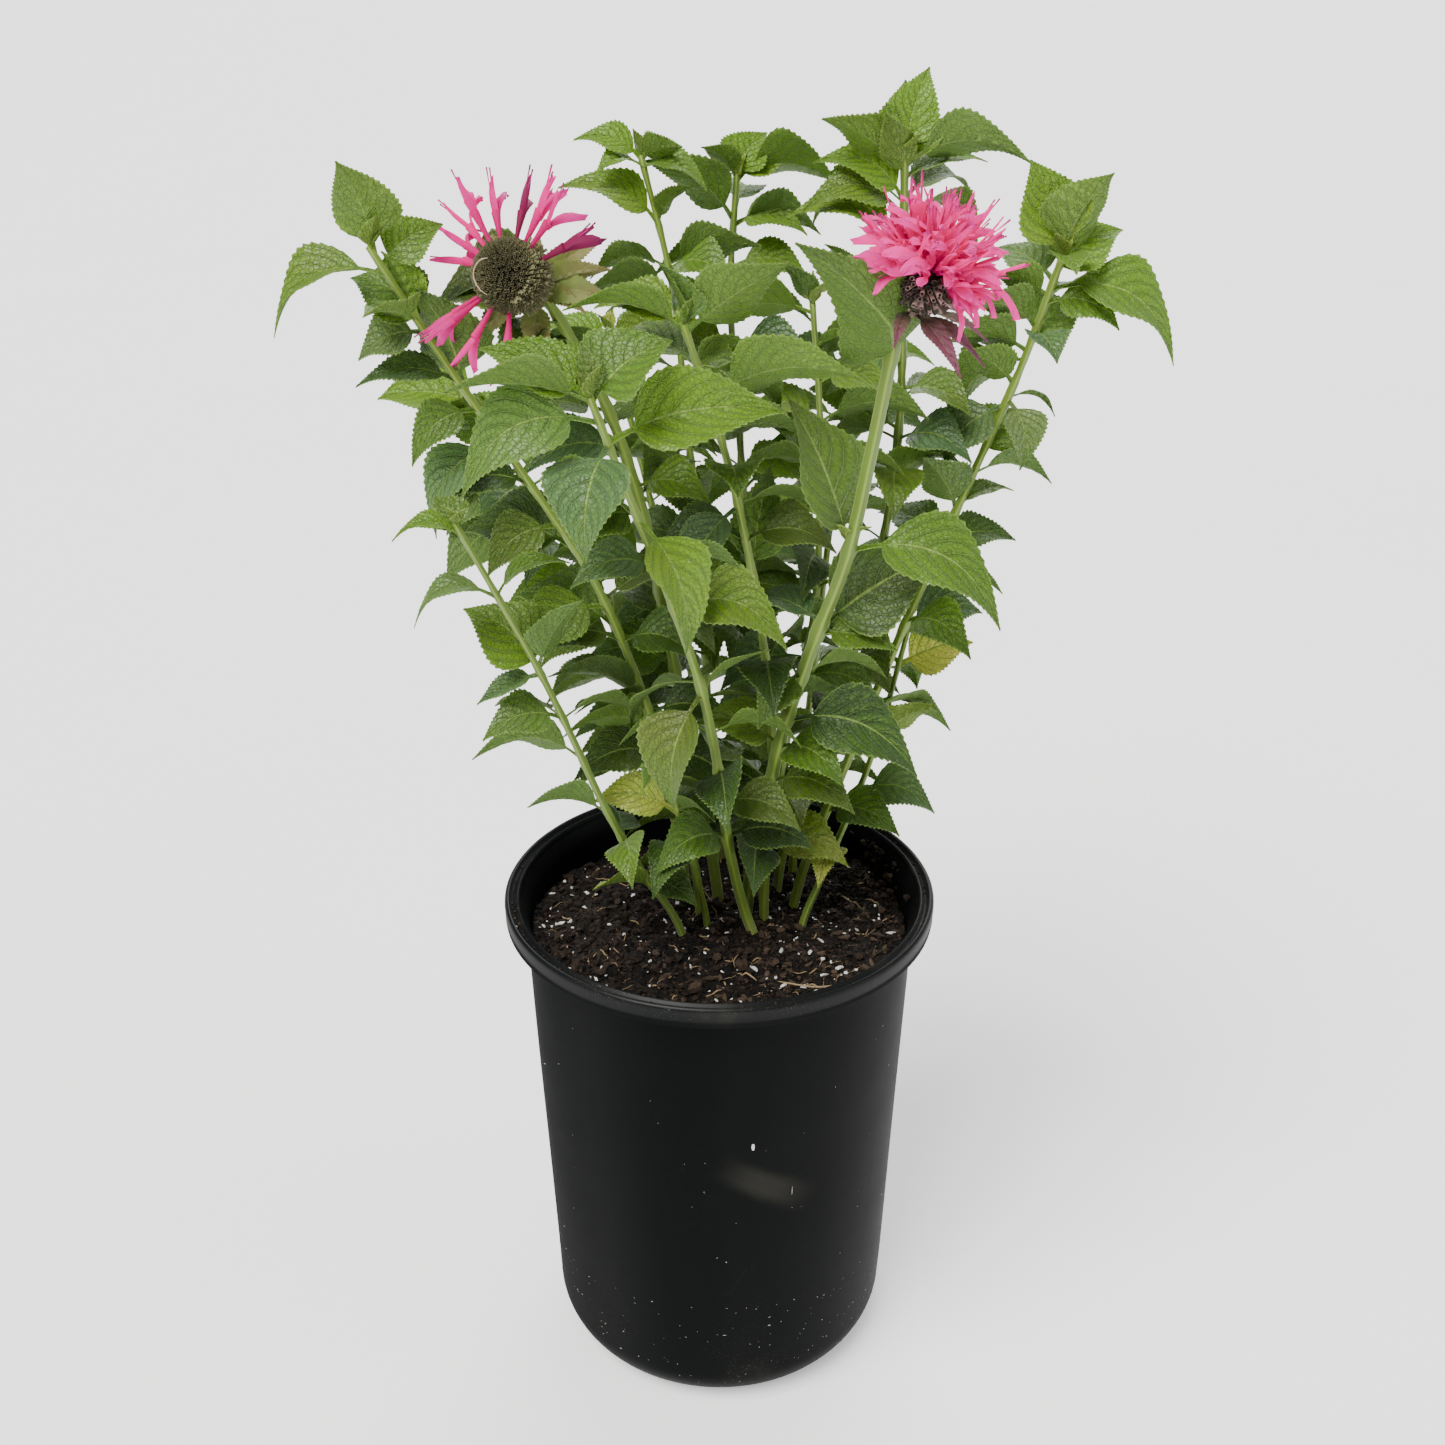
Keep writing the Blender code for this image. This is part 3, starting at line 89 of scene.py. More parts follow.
# Each shoot: the stem's route (x, y, z), its radius at the foot and at the tip, and its leaves.
# A leaf is (height of its node, reach right, reach away, rise, bow, width ratio, turn to front).
# A pair is two plain leaves on opposite sides: (height of their node, bearing in degrees, length).
# The leaves and pairs that fill the gaps between the others come last.
SHOOTS = {
    "shoot_front_left": dict(
        route=[(-11, -11, 184), (-14, -15, 210), (-41, -22, 265), (-66, -42, 343), (-93, -56, 410)],
        radius=(1.9, 1.1),
        pairs=[(262, 100, 30)],
        leaves=[(238, -24, -10, 6, 3, 0.75, 40), (241, 20, -11, -6, 4, 0.55, 20),
                (304, -43, -4, 4, 10, 0.42, 55), (346, -25, 0, -12, 2, 0.32, 30),
                (348, 18, -2, 30, 3, 0.45, 40), (379, -31, -4, -10, 11, 0.28, 20),
                (380, 26, 4, 13, 6, 0.38, 10), (404, -25, -3, 0, 7, 0.3, 20),
                (405, -12, 13, 10, 2, 0.6, 30)],
        fill=[(326, -28, 14, -2, 5, 0.45, 30), (276, -32, 8, 4, 6, 0.6, 45)],
        fill_pairs=[(325, 10, 32)]),
    "shoot_center_left": dict(
        route=[(27, -22, 184), (22, -16, 211), (8, -11, 228), (-5, -36, 330), (-29, -60, 415),
               (-43, -66, 457)], radius=(2.5, 1.2),
        pairs=[(262, 20, 36), (296, 95, 38)],
        leaves=[(336, -11, -13, -44, 9, 0.5, 0), (337, 26, -2, 18, 3, 0.45, 20),
                (341, -28, 8, -24, 8, 0.42, 10), (374, 42, -12, -9, 11, 0.45, 45),
                (412, 17, -15, -44, 9, 0.48, 0), (413, -36, 26, 4, 6, 0.42, 10),
                (440, -8, -24, -33, 9, 0.62, 0), (441, 60, 10, 9, 6, 0.4, 55),
                (448, -48, -6, -22, 13, 0.42, 55), (455, -49, -8, 8, 5, 0.38, 35),
                (455, 27, 6, 20, 4, 0.75, 40), (456, -38, 9, 15, 4, 0.4, 50),
                (456, -13, 14, 16, 3, 0.6, 30), (457, -2, -1, 19, 1, 0.4, 0)],
        fill_pairs=[(280, -25, 34), (316, 0, 36), (392, 15, 32)]),
    "shoot_pink": dict(
        route=[(10, 6, 184), (11, 6, 211), (27, -20, 318), (40, -32, 364), (48, -40, 396),
               (57, -50, 455)], radius=(2.9, 2.3),
        pairs=[(250, 70, 36), (284, 150, 38)],
        leaves=[(316, 52, -14, -16, 11, 0.42, 55), (318, -34, 16, 8, 6, 0.42, 20),
                (360, 45, 8, 26, 3, 0.55, 60), (358, 30, -8, -4, 3, 0.4, 40),
                (362, -28, 22, 2, 5, 0.45, 10), (394, -22, -8, 56, 3, 0.48, 40),
                (394, 56, -14, -25, 15, 0.36, 50), (468, -40, -16, 42, 3, 0.5, 60)],
        fill_pairs=[(302, -10, 36), (338, 10, 34)]),
    "shoot_center": dict(
        route=[(20, 3, 184), (19, 2, 211), (22, -6, 300), (13, -23, 377), (1, -38, 435),
               (-12, -44, 477)], radius=(2.2, 1.2),
        pairs=[(250, -20, 36), (338, 65, 38)],
        leaves=[(300, 30, -20, 2, 6, 0.45, 10), (378, 15, 2, 40, 3, 0.42, 50),
                (380, -32, 14, 6, 6, 0.42, 20), (408, -18, -10, -28, 5, 0.5, 20),
                (409, 32, 14, -8, 6, 0.42, 20), (424, 4, -21, -4, 5, 0.8, 0),
                (450, 54, 2, 12, 7, 0.4, 55), (461, 30, -15, -19, 6, 0.68, 15),
                (462, -34, 24, 4, 6, 0.45, 20), (474, 35, -6, 24, 2, 0.5, 55),
                (474, -13, 10, 19, 3, 0.6, 40), (474, -42, -8, 11, 6, 0.36, 30),
                (475, -32, 9, 5, 7, 0.42, 40), (477, -5, -2, 17, 1, 0.4, 0)],
        fill_pairs=[(272, 20, 34), (318, 5, 36), (358, -15, 34), (394, 10, 34), (436, 0, 32)]),
    "shoot_seed": dict(
        route=[(2, 22, 184), (0, 20, 210), (-31, 6, 399), (-46, 0, 446)], radius=(2.5, 1.9),
        pairs=[(246, 0, 36), (272, 95, 38), (418, 20, 38)],
        leaves=[(300, -44, -14, -8, 6, 0.42, 50), (345, -20, 34, 6, 6, 0.45, 10),
                (345, 20, -28, 0, 6, 0.45, 0), (392, -32, -14, -10, 8, 0.6, 40),
                (436, -14, 34, -4, 8, 0.45, 10), (470, -45, -10, 4, 13, 0.42, 20),
                (471, -14, -26, -18, 8, 0.5, 0), (472, 6, 6, -28, 6, 0.55, 20)],
        fill=[(434, -48, 4, -6, 8, 0.5, 50), (372, -42, 8, 0, 7, 0.55, 45),
              (326, -34, -14, 2, 7, 0.55, 45)],
        fill_pairs=[(314, 15, 36), (360, -5, 36), (404, -20, 32)]),
    "shoot_left": dict(
        route=[(-8, 8, 184), (-6, 8, 210), (-36, -9, 340), (-60, -16, 394), (-103, -24, 468),
               (-121, -26, 500)], radius=(2.1, 1.2),
        pairs=[(258, -60, 36), (292, 25, 38)],
        leaves=[(330, -36, 12, -12, 8, 0.42, 30), (362, -34, -8, -20, 7, 0.5, 50),
                (364, 28, 26, 8, 5, 0.42, 10), (396, -27, -6, -18, 6, 0.5, 50),
                (397, 26, 18, 16, 5, 0.45, 30), (428, -27, -8, -32, 10, 0.4, 40),
                (442, -24, -10, -18, 6, 0.42, 50), (452, -36, -6, 0, 6, 0.3, 40),
                (450, -18, -8, 34, 3, 0.62, 50), (474, -16, -20, 6, 3, 0.75, 20),
                (475, -4, -8, 24, 2, 0.45, 60), (490, -42, -3, -20, 12, 0.34, 30),
                (493, 20, 12, 13, 3, 0.6, 50), (497, -8, -10, 32, 3, 0.62, 30)],
        fill=[(386, -44, 14, 2, 7, 0.5, 45), (352, -40, 16, 8, 6, 0.55, 45),
              (318, -38, 6, 14, 7, 0.5, 45), (306, -40, 14, 6, 7, 0.55, 45),
              (470, -24, -4, -9, 4, 0.6, 45)],
        fill_pairs=[(312, -20, 34), (346, 5, 34), (412, 10, 32)]),
    "shoot_right": dict(
        route=[(29, 14, 184), (31, 13, 209), (73, 20, 330), (95, 24, 387), (117, 24, 446),
               (129, 20, 490)], radius=(2.3, 1.3),
        pairs=[(256, -30, 34), (300, 45, 36), (342, -50, 36)],
        leaves=[(374, 32, 6, 2, 5, 0.42, 40), (375, -30, 22, 4, 6, 0.45, 20),
                (389, -16, -8, 24, 3, 0.6, 50), (390, 24, 8, 5, 5, 0.36, 10),
                (434, 6, -10, -25, 7, 0.55, 10), (435, 20, 4, -8, 5, 0.25, 20),
                (440, -22, -8, 15, 3, 0.55, 50), (460, 6, -18, -7, 4, 0.75, 0),
                (474, 26, 10, 0, 5, 0.6, 20), (474, -22, 2, 8, 3, 0.6, 50),
                (477, 49, -5, -27, 14, 0.4, 40), (480, -18, 28, 8, 4, 0.5, 20),
                (488, -8, 7, 37, 3, 0.6, 50), (489, 15, -4, 31, 3, 0.72, 50),
                (489, 2, -16, -3, 3, 0.8, 0)],
        fill=[(462, -30, 8, 10, 6, 0.5, 45), (432, -22, -4, -24, 5, 0.6, 40),
              (418, -26, -8, 4, 5, 0.5, 45), (340, 34, 10, 2, 6, 0.5, 45),
              (472, 28, -6, -8, 6, 0.5, 45),
              (453, -32, -4, 4, 5, 0.55, 50)],
        fill_pairs=[(358, 5, 34), (404, 0, 32)]),
    "shoot_mid_right": dict(
        route=[(19, 18, 184), (18, 17, 210), (30, 13, 300), (39, 8, 357), (39, 12, 429),
               (35, 10, 474)],
        radius=(1.9, 1.1),
        pairs=[(258, -70, 34), (306, 20, 38), (374, 80, 36)],
        leaves=[(352, -34, 12, 6, 6, 0.42, 20), (392, -28, -3, -3, 5, 0.42, 40),
                (393, 26, 32, 2, 5, 0.45, 10), (428, 43, 8, 0, 8, 0.5, 50),
                (429, -30, 16, 0, 6, 0.42, 20), (457, 18, -11, 2, 5, 0.5, 20),
                (472, -12, -4, 18, 2, 0.4, 40)],
        fill=[(330, -36, 10, 2, 7, 0.5, 45), (338, 34, -4, 2, 6, 0.5, 45)],
        fill_pairs=[(320, -25, 34), (362, -10, 34), (410, 0, 34), (444, -15, 30)]),
    "shoot_top_right": dict(
        route=[(24, 29, 184), (23, 28, 209), (56, 32, 320), (68, 31, 377), (72, 32, 424),
               (69, 30, 524)],
        radius=(2.3, 1.3),
        pairs=[(262, -30, 36), (300, 60, 36)],
        leaves=[(344, 34, 28, 2, 7, 0.42, 10), (398, 18, -12, 16, 3, 0.75, 30),
                (399, -28, 26, 2, 5, 0.42, 10), (432, 30, 22, -2, 7, 0.42, 20),
                (470, 34, -8, -2, 7, 0.42, 30), (471, -36, 10, 0, 7, 0.42, 30),
                (502, -39, -2, 0, 12, 0.36, 50), (502, 30, 8, -13, 13, 0.42, 30),
                (506, -34, 4, 16, 9, 0.42, 50), (507, -34, 16, -10, 14, 0.36, 30),
                (508, 28, 22, 2, 8, 0.42, 20), (520, 46, -6, 3, 9, 0.36, 55),
                (519, -32, -7, 19, 3, 0.42, 50), (516, -11, 8, 34, 3, 0.6, 60),
                (515, -9, -12, 25, 2, 0.4, 40), (516, 33, 16, 6, 4, 0.25, 20),
                (523, 9, 12, 31, 3, 0.5, 60)],
        fill=[(448, -26, -20, -10, 6, 0.5, 45), (436, 10, -30, -6, 6, 0.55, 20),
              (452, -38, 2, -4, 8, 0.5, 50), (496, -42, 14, 6, 8, 0.36, 40),
              (350, 38, 6, -4, 8, 0.5, 45), (420, -28, -12, 4, 5, 0.55, 45),
              (404, 12, -30, -10, 6, 0.55, 20)],
        fill_pairs=[(322, -15, 34), (374, -10, 36), (416, 0, 34)]),
    "shoot_top_mid": dict(
        route=[(13, 39, 184), (13, 38, 209), (12, 50, 330), (9, 55, 405), (4, 62, 480), (7, 64, 514)],
        radius=(2.0, 1.2),
        pairs=[(280, 0, 40), (326, 80, 38), (350, 20, 42), (398, -25, 42)],
        leaves=[(372, 28, 28, 4, 7, 0.42, 10), (424, -18, 34, 2, 7, 0.42, 10),
                (425, 32, -14, 2, 7, 0.42, 30), (460, 34, 4, -4, 8, 0.42, 30),
                (461, -36, 8, -4, 9, 0.42, 30), (494, 29, -5, -1, 6, 0.45, 40),
                (496, -34, -8, 26, 5, 0.42, 55), (501, 8, 32, 2, 6, 0.45, 10),
                (512, 12, 8, 17, 3, 0.75, 40), (512, -14, -10, 13, 3, 0.5, 30)],
        fill=[(440, -38, -14, 8, 6, 0.5, 50), (388, 34, -10, 14, 6, 0.55, 50),
              (336, 6, -40, -6, 9, 0.5, 10), (511, 26, -4, 10, 4, 0.5, 45),
              (413, 24, -24, 0, 6, 0.6, 20)],
        fill_pairs=[(364, -20, 34), (412, 0, 36), (446, -20, 34), (478, -10, 32)]),
    "shoot_top_left": dict(
        route=[(-1, 45, 184), (-2, 44, 209), (-6, 38, 320), (-12, 40, 410), (-21, 50, 491),
               (-30, 52, 522)], radius=(2.0, 1.1),
        pairs=[(276, -20, 38), (320, 60, 38), (342, 10, 42), (392, 95, 40)],
        leaves=[(366, -38, 14, 0, 9, 0.42, 30), (420, 32, 16, 4, 7, 0.45, 30),
                (421, -36, -8, 0, 8, 0.42, 30), (458, -18, 32, 2, 7, 0.42, 10),
                (459, 30, -12, 6, 6, 0.45, 30), (496, -38, -4, 15, 8, 0.36, 40),
                (497, 14, -3, 15, 3, 0.5, 30), (518, 26, 8, 3, 5, 0.42, 20),
                (518, -19, -6, -5, 6, 0.45, 20), (521, 16, -10, 5, 2, 0.6, 50)],
        fill=[(478, 36, -6, 12, 5, 0.5, 50), (438, 40, -10, 6, 6, 0.5, 50),
              (400, -38, -6, 10, 6, 0.55, 50), (470, -36, -14, 2, 6, 0.45, 45),
              (452, -30, -20, -2, 6, 0.5, 45), (334, 10, -36, -4, 8, 0.5, 10),
              (520, -26, 2, 8, 5, 0.4, 45), (406, -22, -26, -4, 6, 0.6, 20)],
        fill_pairs=[(356, -25, 34), (440, -15, 34), (480, -10, 32)]),
    "shoot_back_left": dict(
        route=[(-14, 34, 184), (-14, 33, 209), (-32, 34, 290), (-50, 36, 346), (-84, 44, 400),
               (-94, 46, 424)], radius=(1.8, 1.1),
        pairs=[(250, 110, 34)],
        leaves=[(290, -30, -16, 0, 7, 0.45, 30), (291, 10, 34, 2, 7, 0.42, 10),
                (330, -32, -8, -12, 8, 0.42, 40), (331, -4, 36, 4, 7, 0.42, 10),
                (368, -16, -30, -6, 8, 0.42, 20), (396, -32, -8, -8, 9, 0.42, 30),
                (397, 14, 30, 4, 6, 0.42, 20), (420, -24, -10, 6, 5, 0.42, 30)],
        fill=[(392, -14, -36, -8, 8, 0.5, 20), (348, -38, -6, -4, 7, 0.5, 45)]),
    "shoot_back_right": dict(
        route=[(33, 42, 184), (33, 41, 208), (42, 62, 300), (52, 82, 397), (60, 92, 466)],
        radius=(2.0, 1.1),
        pairs=[(256, 30, 34)],
        leaves=[(300, 12, 36, -6, 9, 0.42, 10), (345, 38, 12, 0, 9, 0.42, 30),
                (346, -36, 16, 0, 9, 0.42, 30), (390, 8, 42, 0, 10, 0.42, 10),
                (391, -4, -32, 6, 7, 0.42, 10), (430, 38, 12, 2, 8, 0.42, 30),
                (431, -38, 2, 0, 9, 0.42, 30), (460, 8, 32, 6, 6, 0.42, 10),
                (464, -16, -6, 20, 3, 0.45, 20)],
        fill_pairs=[(368, 0, 36), (410, -5, 36)]),
    "shoot_back": dict(
        route=[(3, 61, 184), (2, 61, 208), (-14, 76, 300), (-32, 88, 380), (-48, 98, 446)],
        radius=(2.0, 1.1),
        pairs=[(250, 60, 34), (350, 0, 42)],
        leaves=[(284, -36, 10, -4, 9, 0.42, 30), (285, 34, 16, -2, 9, 0.42, 30),
                (330, 2, 38, -2, 9, 0.42, 10), (372, -40, 4, 0, 9, 0.42, 30),
                (373, 38, 10, 0, 8, 0.42, 30), (410, -6, 38, 0, 8, 0.42, 10),
                (438, -32, 4, 8, 6, 0.42, 30), (439, 26, 10, 12, 5, 0.42, 30)],
        fill_pairs=[(392, 0, 36)]),
    "shoot_low_right": dict(
        route=[(37, -4, 184), (36, -4, 209), (52, 12, 244), (68, 30, 280), (82, 38, 338)],
        radius=(1.8, 1.1),
        leaves=[(240, -8, -26, -4, 8, 0.5, 0), (262, 32, -12, -4, 8, 0.5, 40),
                (286, 4, -18, 32, 2, 0.5, 50), (287, 32, 16, -6, 8, 0.42, 30),
                (298, 22, -12, 16, 6, 0.55, 40), (316, 32, 4, 10, 3, 0.55, 60),
                (317, -30, 12, 6, 6, 0.42, 30), (334, 30, 2, 6, 4, 0.35, 30)]),
    "shoot_low_front": dict(
        route=[(-5, -4, 184), (-5, -5, 210), (-12, -16, 252), (-22, -26, 300)], radius=(1.6, 1.0),
        leaves=[(236, -32, -8, -2, 9, 0.6, 40), (256, -10, -28, -8, 8, 0.5, 10),
                (257, 30, -10, 2, 6, 0.5, 30), (274, -36, 6, 0, 8, 0.42, 50),
                (275, 24, -14, 8, 5, 0.45, 30), (292, -10, -22, 8, 5, 0.45, 10)]),
}

BLOOM_CENTRE = (68.5, -57.0, 494.0)
BLOOM_AXIS = (0.38, -0.34, 0.86)
BLOOM_CORE = 10.0
SEED_CENTRE = (-72.0, -32.0, 491.0)
SEED_AXIS = (-0.42, -0.76, 0.46)
SEED_RADIUS = 13.0
COLLAR_HEIGHT = 2.4
NECK_LENGTH = 8.0
BLOOM_BELOW = 0.9 * (BLOOM_CORE + 1.0)
SEED_BELOW = SEED_RADIUS + 0.3
HEADS = {
    "shoot_pink": (BLOOM_CENTRE, BLOOM_AXIS, BLOOM_BELOW),
    "shoot_seed": (SEED_CENTRE, SEED_AXIS, SEED_BELOW),
}

# The fine heads. Angles are bearings round a head's own axis, in degrees, and lengths are in
# millimetres. The first bracts of each head are long and the others are shorter.
BLOOM_BALL = 8.2
BLOOM_BRACT_ANGLES = (40, 90, 260, 296, 322, 355, 130, 210)
SEED_BRACT_ANGLES = (21, 47, 140, 220, 290, 2, 33, 350, 100)
SEED_FLORET_ANGLES = (27, 48, 65, 78, 98, 117, 130, 142, 157, 168, 222, 235, 256, 281)
WILTED_ANGLES = (27, 98)
SEED_FLORET_LENGTH = 26.0
BRACT_LENGTH = 22.0
LONG_BRACTS = 6

# Half widths of a floret's hooded lip and of its broad lip, from the throat to the end
HOOD_WIDTHS = (0.8, 1.0, 1.05, 0.95, 0.7, 0.25)
LIP_WIDTHS = (0.9, 1.3, 1.8, 2.2, 2.0, 1.1)

# How far from a head's middle its open florets and its dry tubes stand
FLORET_ROOT = 6.0
HUSK_ROOT = 9.0

# Rings of florets on the open head: how many, degrees from its axis, and length
BLOOM_RINGS = ((7, 10, 28), (14, 29, 30), (20, 47, 31), (24, 64, 31), (22, 80, 28), (14, 93, 25))

# Parts of the open head's face, in degrees as the front sees them: where the buds are still shut,
# and where the florets are short, with the share of their length that these have
SHUT_SIDE = (196.0, 314.0)
SHORT_SIDE = (314.0, 344.0)
SHORT_SHARE = 0.78

# A dry filament that lies across the spent head, as directions from its middle
FILAMENT = ((-0.45, -0.68, 0.57), (-0.632, -0.569, 0.528), (-0.74, -0.52, 0.44),
            (-0.804, -0.484, 0.347), (-0.86, -0.46, 0.24), (-0.879, -0.459, 0.139),
            (-0.87, -0.49, 0.02), (-0.80, -0.60, -0.14), (-0.70, -0.67, -0.249),
            (-0.502, -0.79, -0.356))
FILAMENT_RADII = (0.15, 0.25, 0.28, 0.28, 0.28, 0.28, 0.28, 0.26, 0.22, 0.12)

# The rolled rim's outline, as steps out and up from a corner of the solid rim, and the heights of
# the points on the wall below it
WALL_TOP = ((0.0, -2.0), (0.7, 1.6))
RIM_INSIDE = ((-0.3, -3.6), (0.0, -2.0), (0.3, -1.0), (0.9, -0.55), (1.6, -0.8), (2.2, -1.7),
              (3.1, -2.0), (3.9, -1.4))
RIM_TOP = ((-1.9, -0.2), (-1.3, 0.0), (-0.6, -0.3), (-0.1, -1.1), (0.0, -2.2))
RIM_EDGE = ((-0.1, 3.4), (-0.5, 2.6), (-0.5, 2.0), (-0.15, 1.3), (-0.3, 0.4), (-1.2, 0.0))
RIM_UNDER = ((1.2, -0.4), (0.2, -1.2), (-0.1, -3.0))
WALL_HEIGHTS = (206.0, 190.0, 170.0, 150.0, 130.0, 110.0, 90.0, 70.0, 50.0, 35.0)

# Marks on the pot's wall: the middle of its dent, the painted highlight by the dent in metres, with
# the cosine and the sine of its lean, the height below which the wall has no waves, a stuck grain and
# a nick
DENT = (24.0, 128.0)
DENT_HIGHLIGHT_PLACE = (0.0195, 0.129)
DENT_HIGHLIGHT_LEAN = (0.82, 0.57)
PLAIN_FOOT = 25.0
STUCK_GRAIN = ((13.9, -80.35, 150.5), (13.9, -80.4, 152.0), (13.9, -80.45, 153.5))
NICK = ((30.5, -74.3, 121.8), (30.6, -74.5, 124.0), (30.6, -74.7, 126.2))
FLECKS = 380

# The middle of the soil's heap, how many rings its top has, and how many pieces of each kind
HEAP = (62.0, 36.0)
SOIL_RINGS = 64
CRUMB_BATCHES = 8
RIM_CRUMBS = 90
WALL_CRUMBS = 26
FIBRES = 110

# Thickness along a fibre, as shares of its own, and the long straw that lies on the soil
FIBRE_RADII = (0.6, 1.0, 1.0, 1.0, 0.8, 0.3)
STRAW = ((24, -57, 217), (32, -61, 218), (41, -62.5, 218), (54, -59, 218), (66, -52, 217))
STRAW_RADII = (0.2, 0.35, 0.4, 0.42, 0.45, 0.5, 0.5, 0.48, 0.45, 0.42, 0.4, 0.35, 0.3, 0.15)

# The camera, the sky, and each lamp's name, place, spread in degrees, strength and colour
LENS = 39.61
CAMERA_PLACE = (0.0014, -0.593, 0.586)
CAMERA_TILT = 64.7
SKY = (0.95, 0.97, 1.0, 1.0)
SKY_STRENGTH = 0.38
LAMPS = (("key", (-0.8, -1.0, 2.2), 36.0, 5.1, (1.0, 0.985, 0.96)),
         ("side", (1.8, -0.5, 1.2), 50.0, 0.7, (0.97, 0.99, 1.0)),
         ("back", (0.3, 1.9, 1.5), 55.0, 2.6, (1.0, 1.0, 1.0)))

# The fine leaf's grid: its columns from edge to edge and its rows along the blade, both also for a
# leaf shorter than the small length, and the rows along the stalk
COLUMNS = (-1.0, -0.84, -0.52, -0.2, 0.0, 0.2, 0.52, 0.84, 1.0)
SMALL_COLUMNS = (-1.0, -0.5, 0.0, 0.5, 1.0)
SMALL_LEAF = 18.0
STALK_ROWS = 3
BLADE_ROWS = 40
SMALL_BLADE_ROWS = 16

# Half the width of a leaf's very tip, and the half width from which its teeth have their full size
TIP_POINT = 0.12
FULL_TOOTH = 7.0

# The shape of a blade: the lower the number, the nearer its widest part is to the stalk. The broad
# leaf has its own.
LEAF_FORM = 0.56
BROAD_FORM = 0.36

# Pairs of side veins on a leaf, and how far forward they run towards its margin
VEINS = 7.0
VEIN_SLANT = 0.1
VEIN_CURVE = 0.16

# Ways in which the solids' leaves are bent clear of their neighbours: turn and lift in degrees, and
# size. A way fits when every corner of the leaf is this near to the solid, in millimetres.
TURNS = (0, 8, -8, 16, -16, 26, -26, 38, -38, 52, -52)
LIFTS = (0, 10, -10, 22, -22)
SIZES = (1.0, 0.85, 0.7)
MATCH = 1.2

# Small young leaves and buds that only the fine model has, written as leaves are, and how far they
# are from green towards yellow
YOUNG_AGE = 0.42
YOUNG = {
    "shoot_center_left": [(456, 4, -4, 13, 1, 0.5, 0), (455, -7, 4, 12, 1, 0.5, 0)],
    "shoot_center": [(476, 5, -3, 12, 1, 0.5, 0), (475, 2, 6, 11, 1, 0.5, 0)],
    "shoot_pink": [(396, -9, -4, 10, 2, 0.45, 20), (396, 7, -4, 9, 2, 0.5, 20)],
    "shoot_left": [(499, 4, -5, 12, 1, 0.5, 0), (499, 6, 4, 9, 1, 0.5, 0)],
    "shoot_right": [(489, -4, -6, 10, 1, 0.5, 0), (489, 4, 5, 12, 1, 0.4, 0)],
    "shoot_mid_right": [(473, 6, -3, 11, 1, 0.5, 0), (473, 0, 5, 12, 1, 0.4, 0)],
    "shoot_top_right": [(523, 6, -5, 10, 1, 0.5, 0)],
    "shoot_top_mid": [(513, -2, -3, 13, 1, 0.4, 0), (512, 4, 3, 10, 1, 0.5, 0)],
    "shoot_top_left": [(521, -3, -4, 11, 1, 0.5, 0), (521, 3, 5, 9, 1, 0.5, 0)],
    "shoot_front_left": [(409, -4, -4, 9, 1, 0.5, 0), (409, 5, -4, 8, 1, 0.5, 0)],
    "shoot_back_left": [(423, -3, -4, 9, 1, 0.5, 0)],
    "shoot_back_right": [(465, 2, -5, 10, 1, 0.5, 0)],
    "shoot_back": [(445, 2, 5, 10, 1, 0.5, 0), (445, -4, -4, 9, 1, 0.5, 0)],
    "shoot_low_right": [(337, 4, -4, 8, 1, 0.5, 0)],
    "shoot_low_front": [(299, -3, -4, 9, 1, 0.5, 0)],
}

# Leaves that only the fine model has, behind the others: the height of each, its bearing and its
# rise in degrees, its length, and how far it bows
BEHIND = {
    "shoot_seed": ((470, 175, 0, 50, 16), (465, 195, -25, 30, 4), (460, 165, -40, 35, 4)),
    "shoot_back_left": ((310, 180, -15, 40, 6), (425, 180, 5, 45, 6), (400, 195, -40, 40, 6),
                        (410, 155, 15, 35, 6), (385, 195, -35, 50, 6), (270, 180, -20, 40, 6)),
    "shoot_right": ((450, 150, -40, 35, 6), (480, 25, 30, 35, 6), (455, 35, 25, 30, 6),
                    (410, 40, 30, 30, 6)),
    "shoot_left": ((470, 155, 30, 35, 6),),
    "shoot_top_mid": ((515, 0, -5, 40, 6), (395, 140, -45, 30, 6), (495, 0, -5, 35, 6)),
    "shoot_front_left": ((345, 155, 35, 40, 6),),
    "shoot_low_right": ((315, 55, -40, 25, 6),),
    "shoot_top_left": ((410, 0, 10, 45, 6),),
    "shoot_mid_right": ((470, 180, -5, 40, 6), (445, 50, -45, 30, 6)),
}
BEHIND_WIDTH = 0.6
BEHIND_TURN = 40.0

# Leaves in deep shade, and the brightness of each
SHADED = {
    ("shoot_left", 450): 0.0, ("shoot_seed", 470): 0.0, ("shoot_seed", 471): 0.0,
    ("shoot_seed", 472): 0.0, ("shoot_seed", 465): 0.0, ("shoot_seed", 460): 0.0,
    ("shoot_seed", 434): 0.0, ("shoot_seed", 436): 0.0, ("shoot_pink", 468): 0.3,
}

# The leaf whose broad base hides the neck of the bloom, how far it is moved, and how much longer
# it is than the solid one
BROAD_LEAF = ("shoot_pink", 468)
BROAD_SHIFT = Vector((9.0, -6.5, -3.0))
BROAD_REACH = 1.07

# Leaves that have turned yellow, by shoot and node height: 0 is green and 1 is pale yellow
YELLOWING = {
    ("shoot_low_right", 316): 1.0,
    ("shoot_low_right", 286): 0.7,
    ("shoot_low_right", 298): 0.8,
    ("shoot_low_front", 274): 0.5,
    ("shoot_front_left", 238): 0.45,
    ("shoot_low_right", 240): 0.6,
}


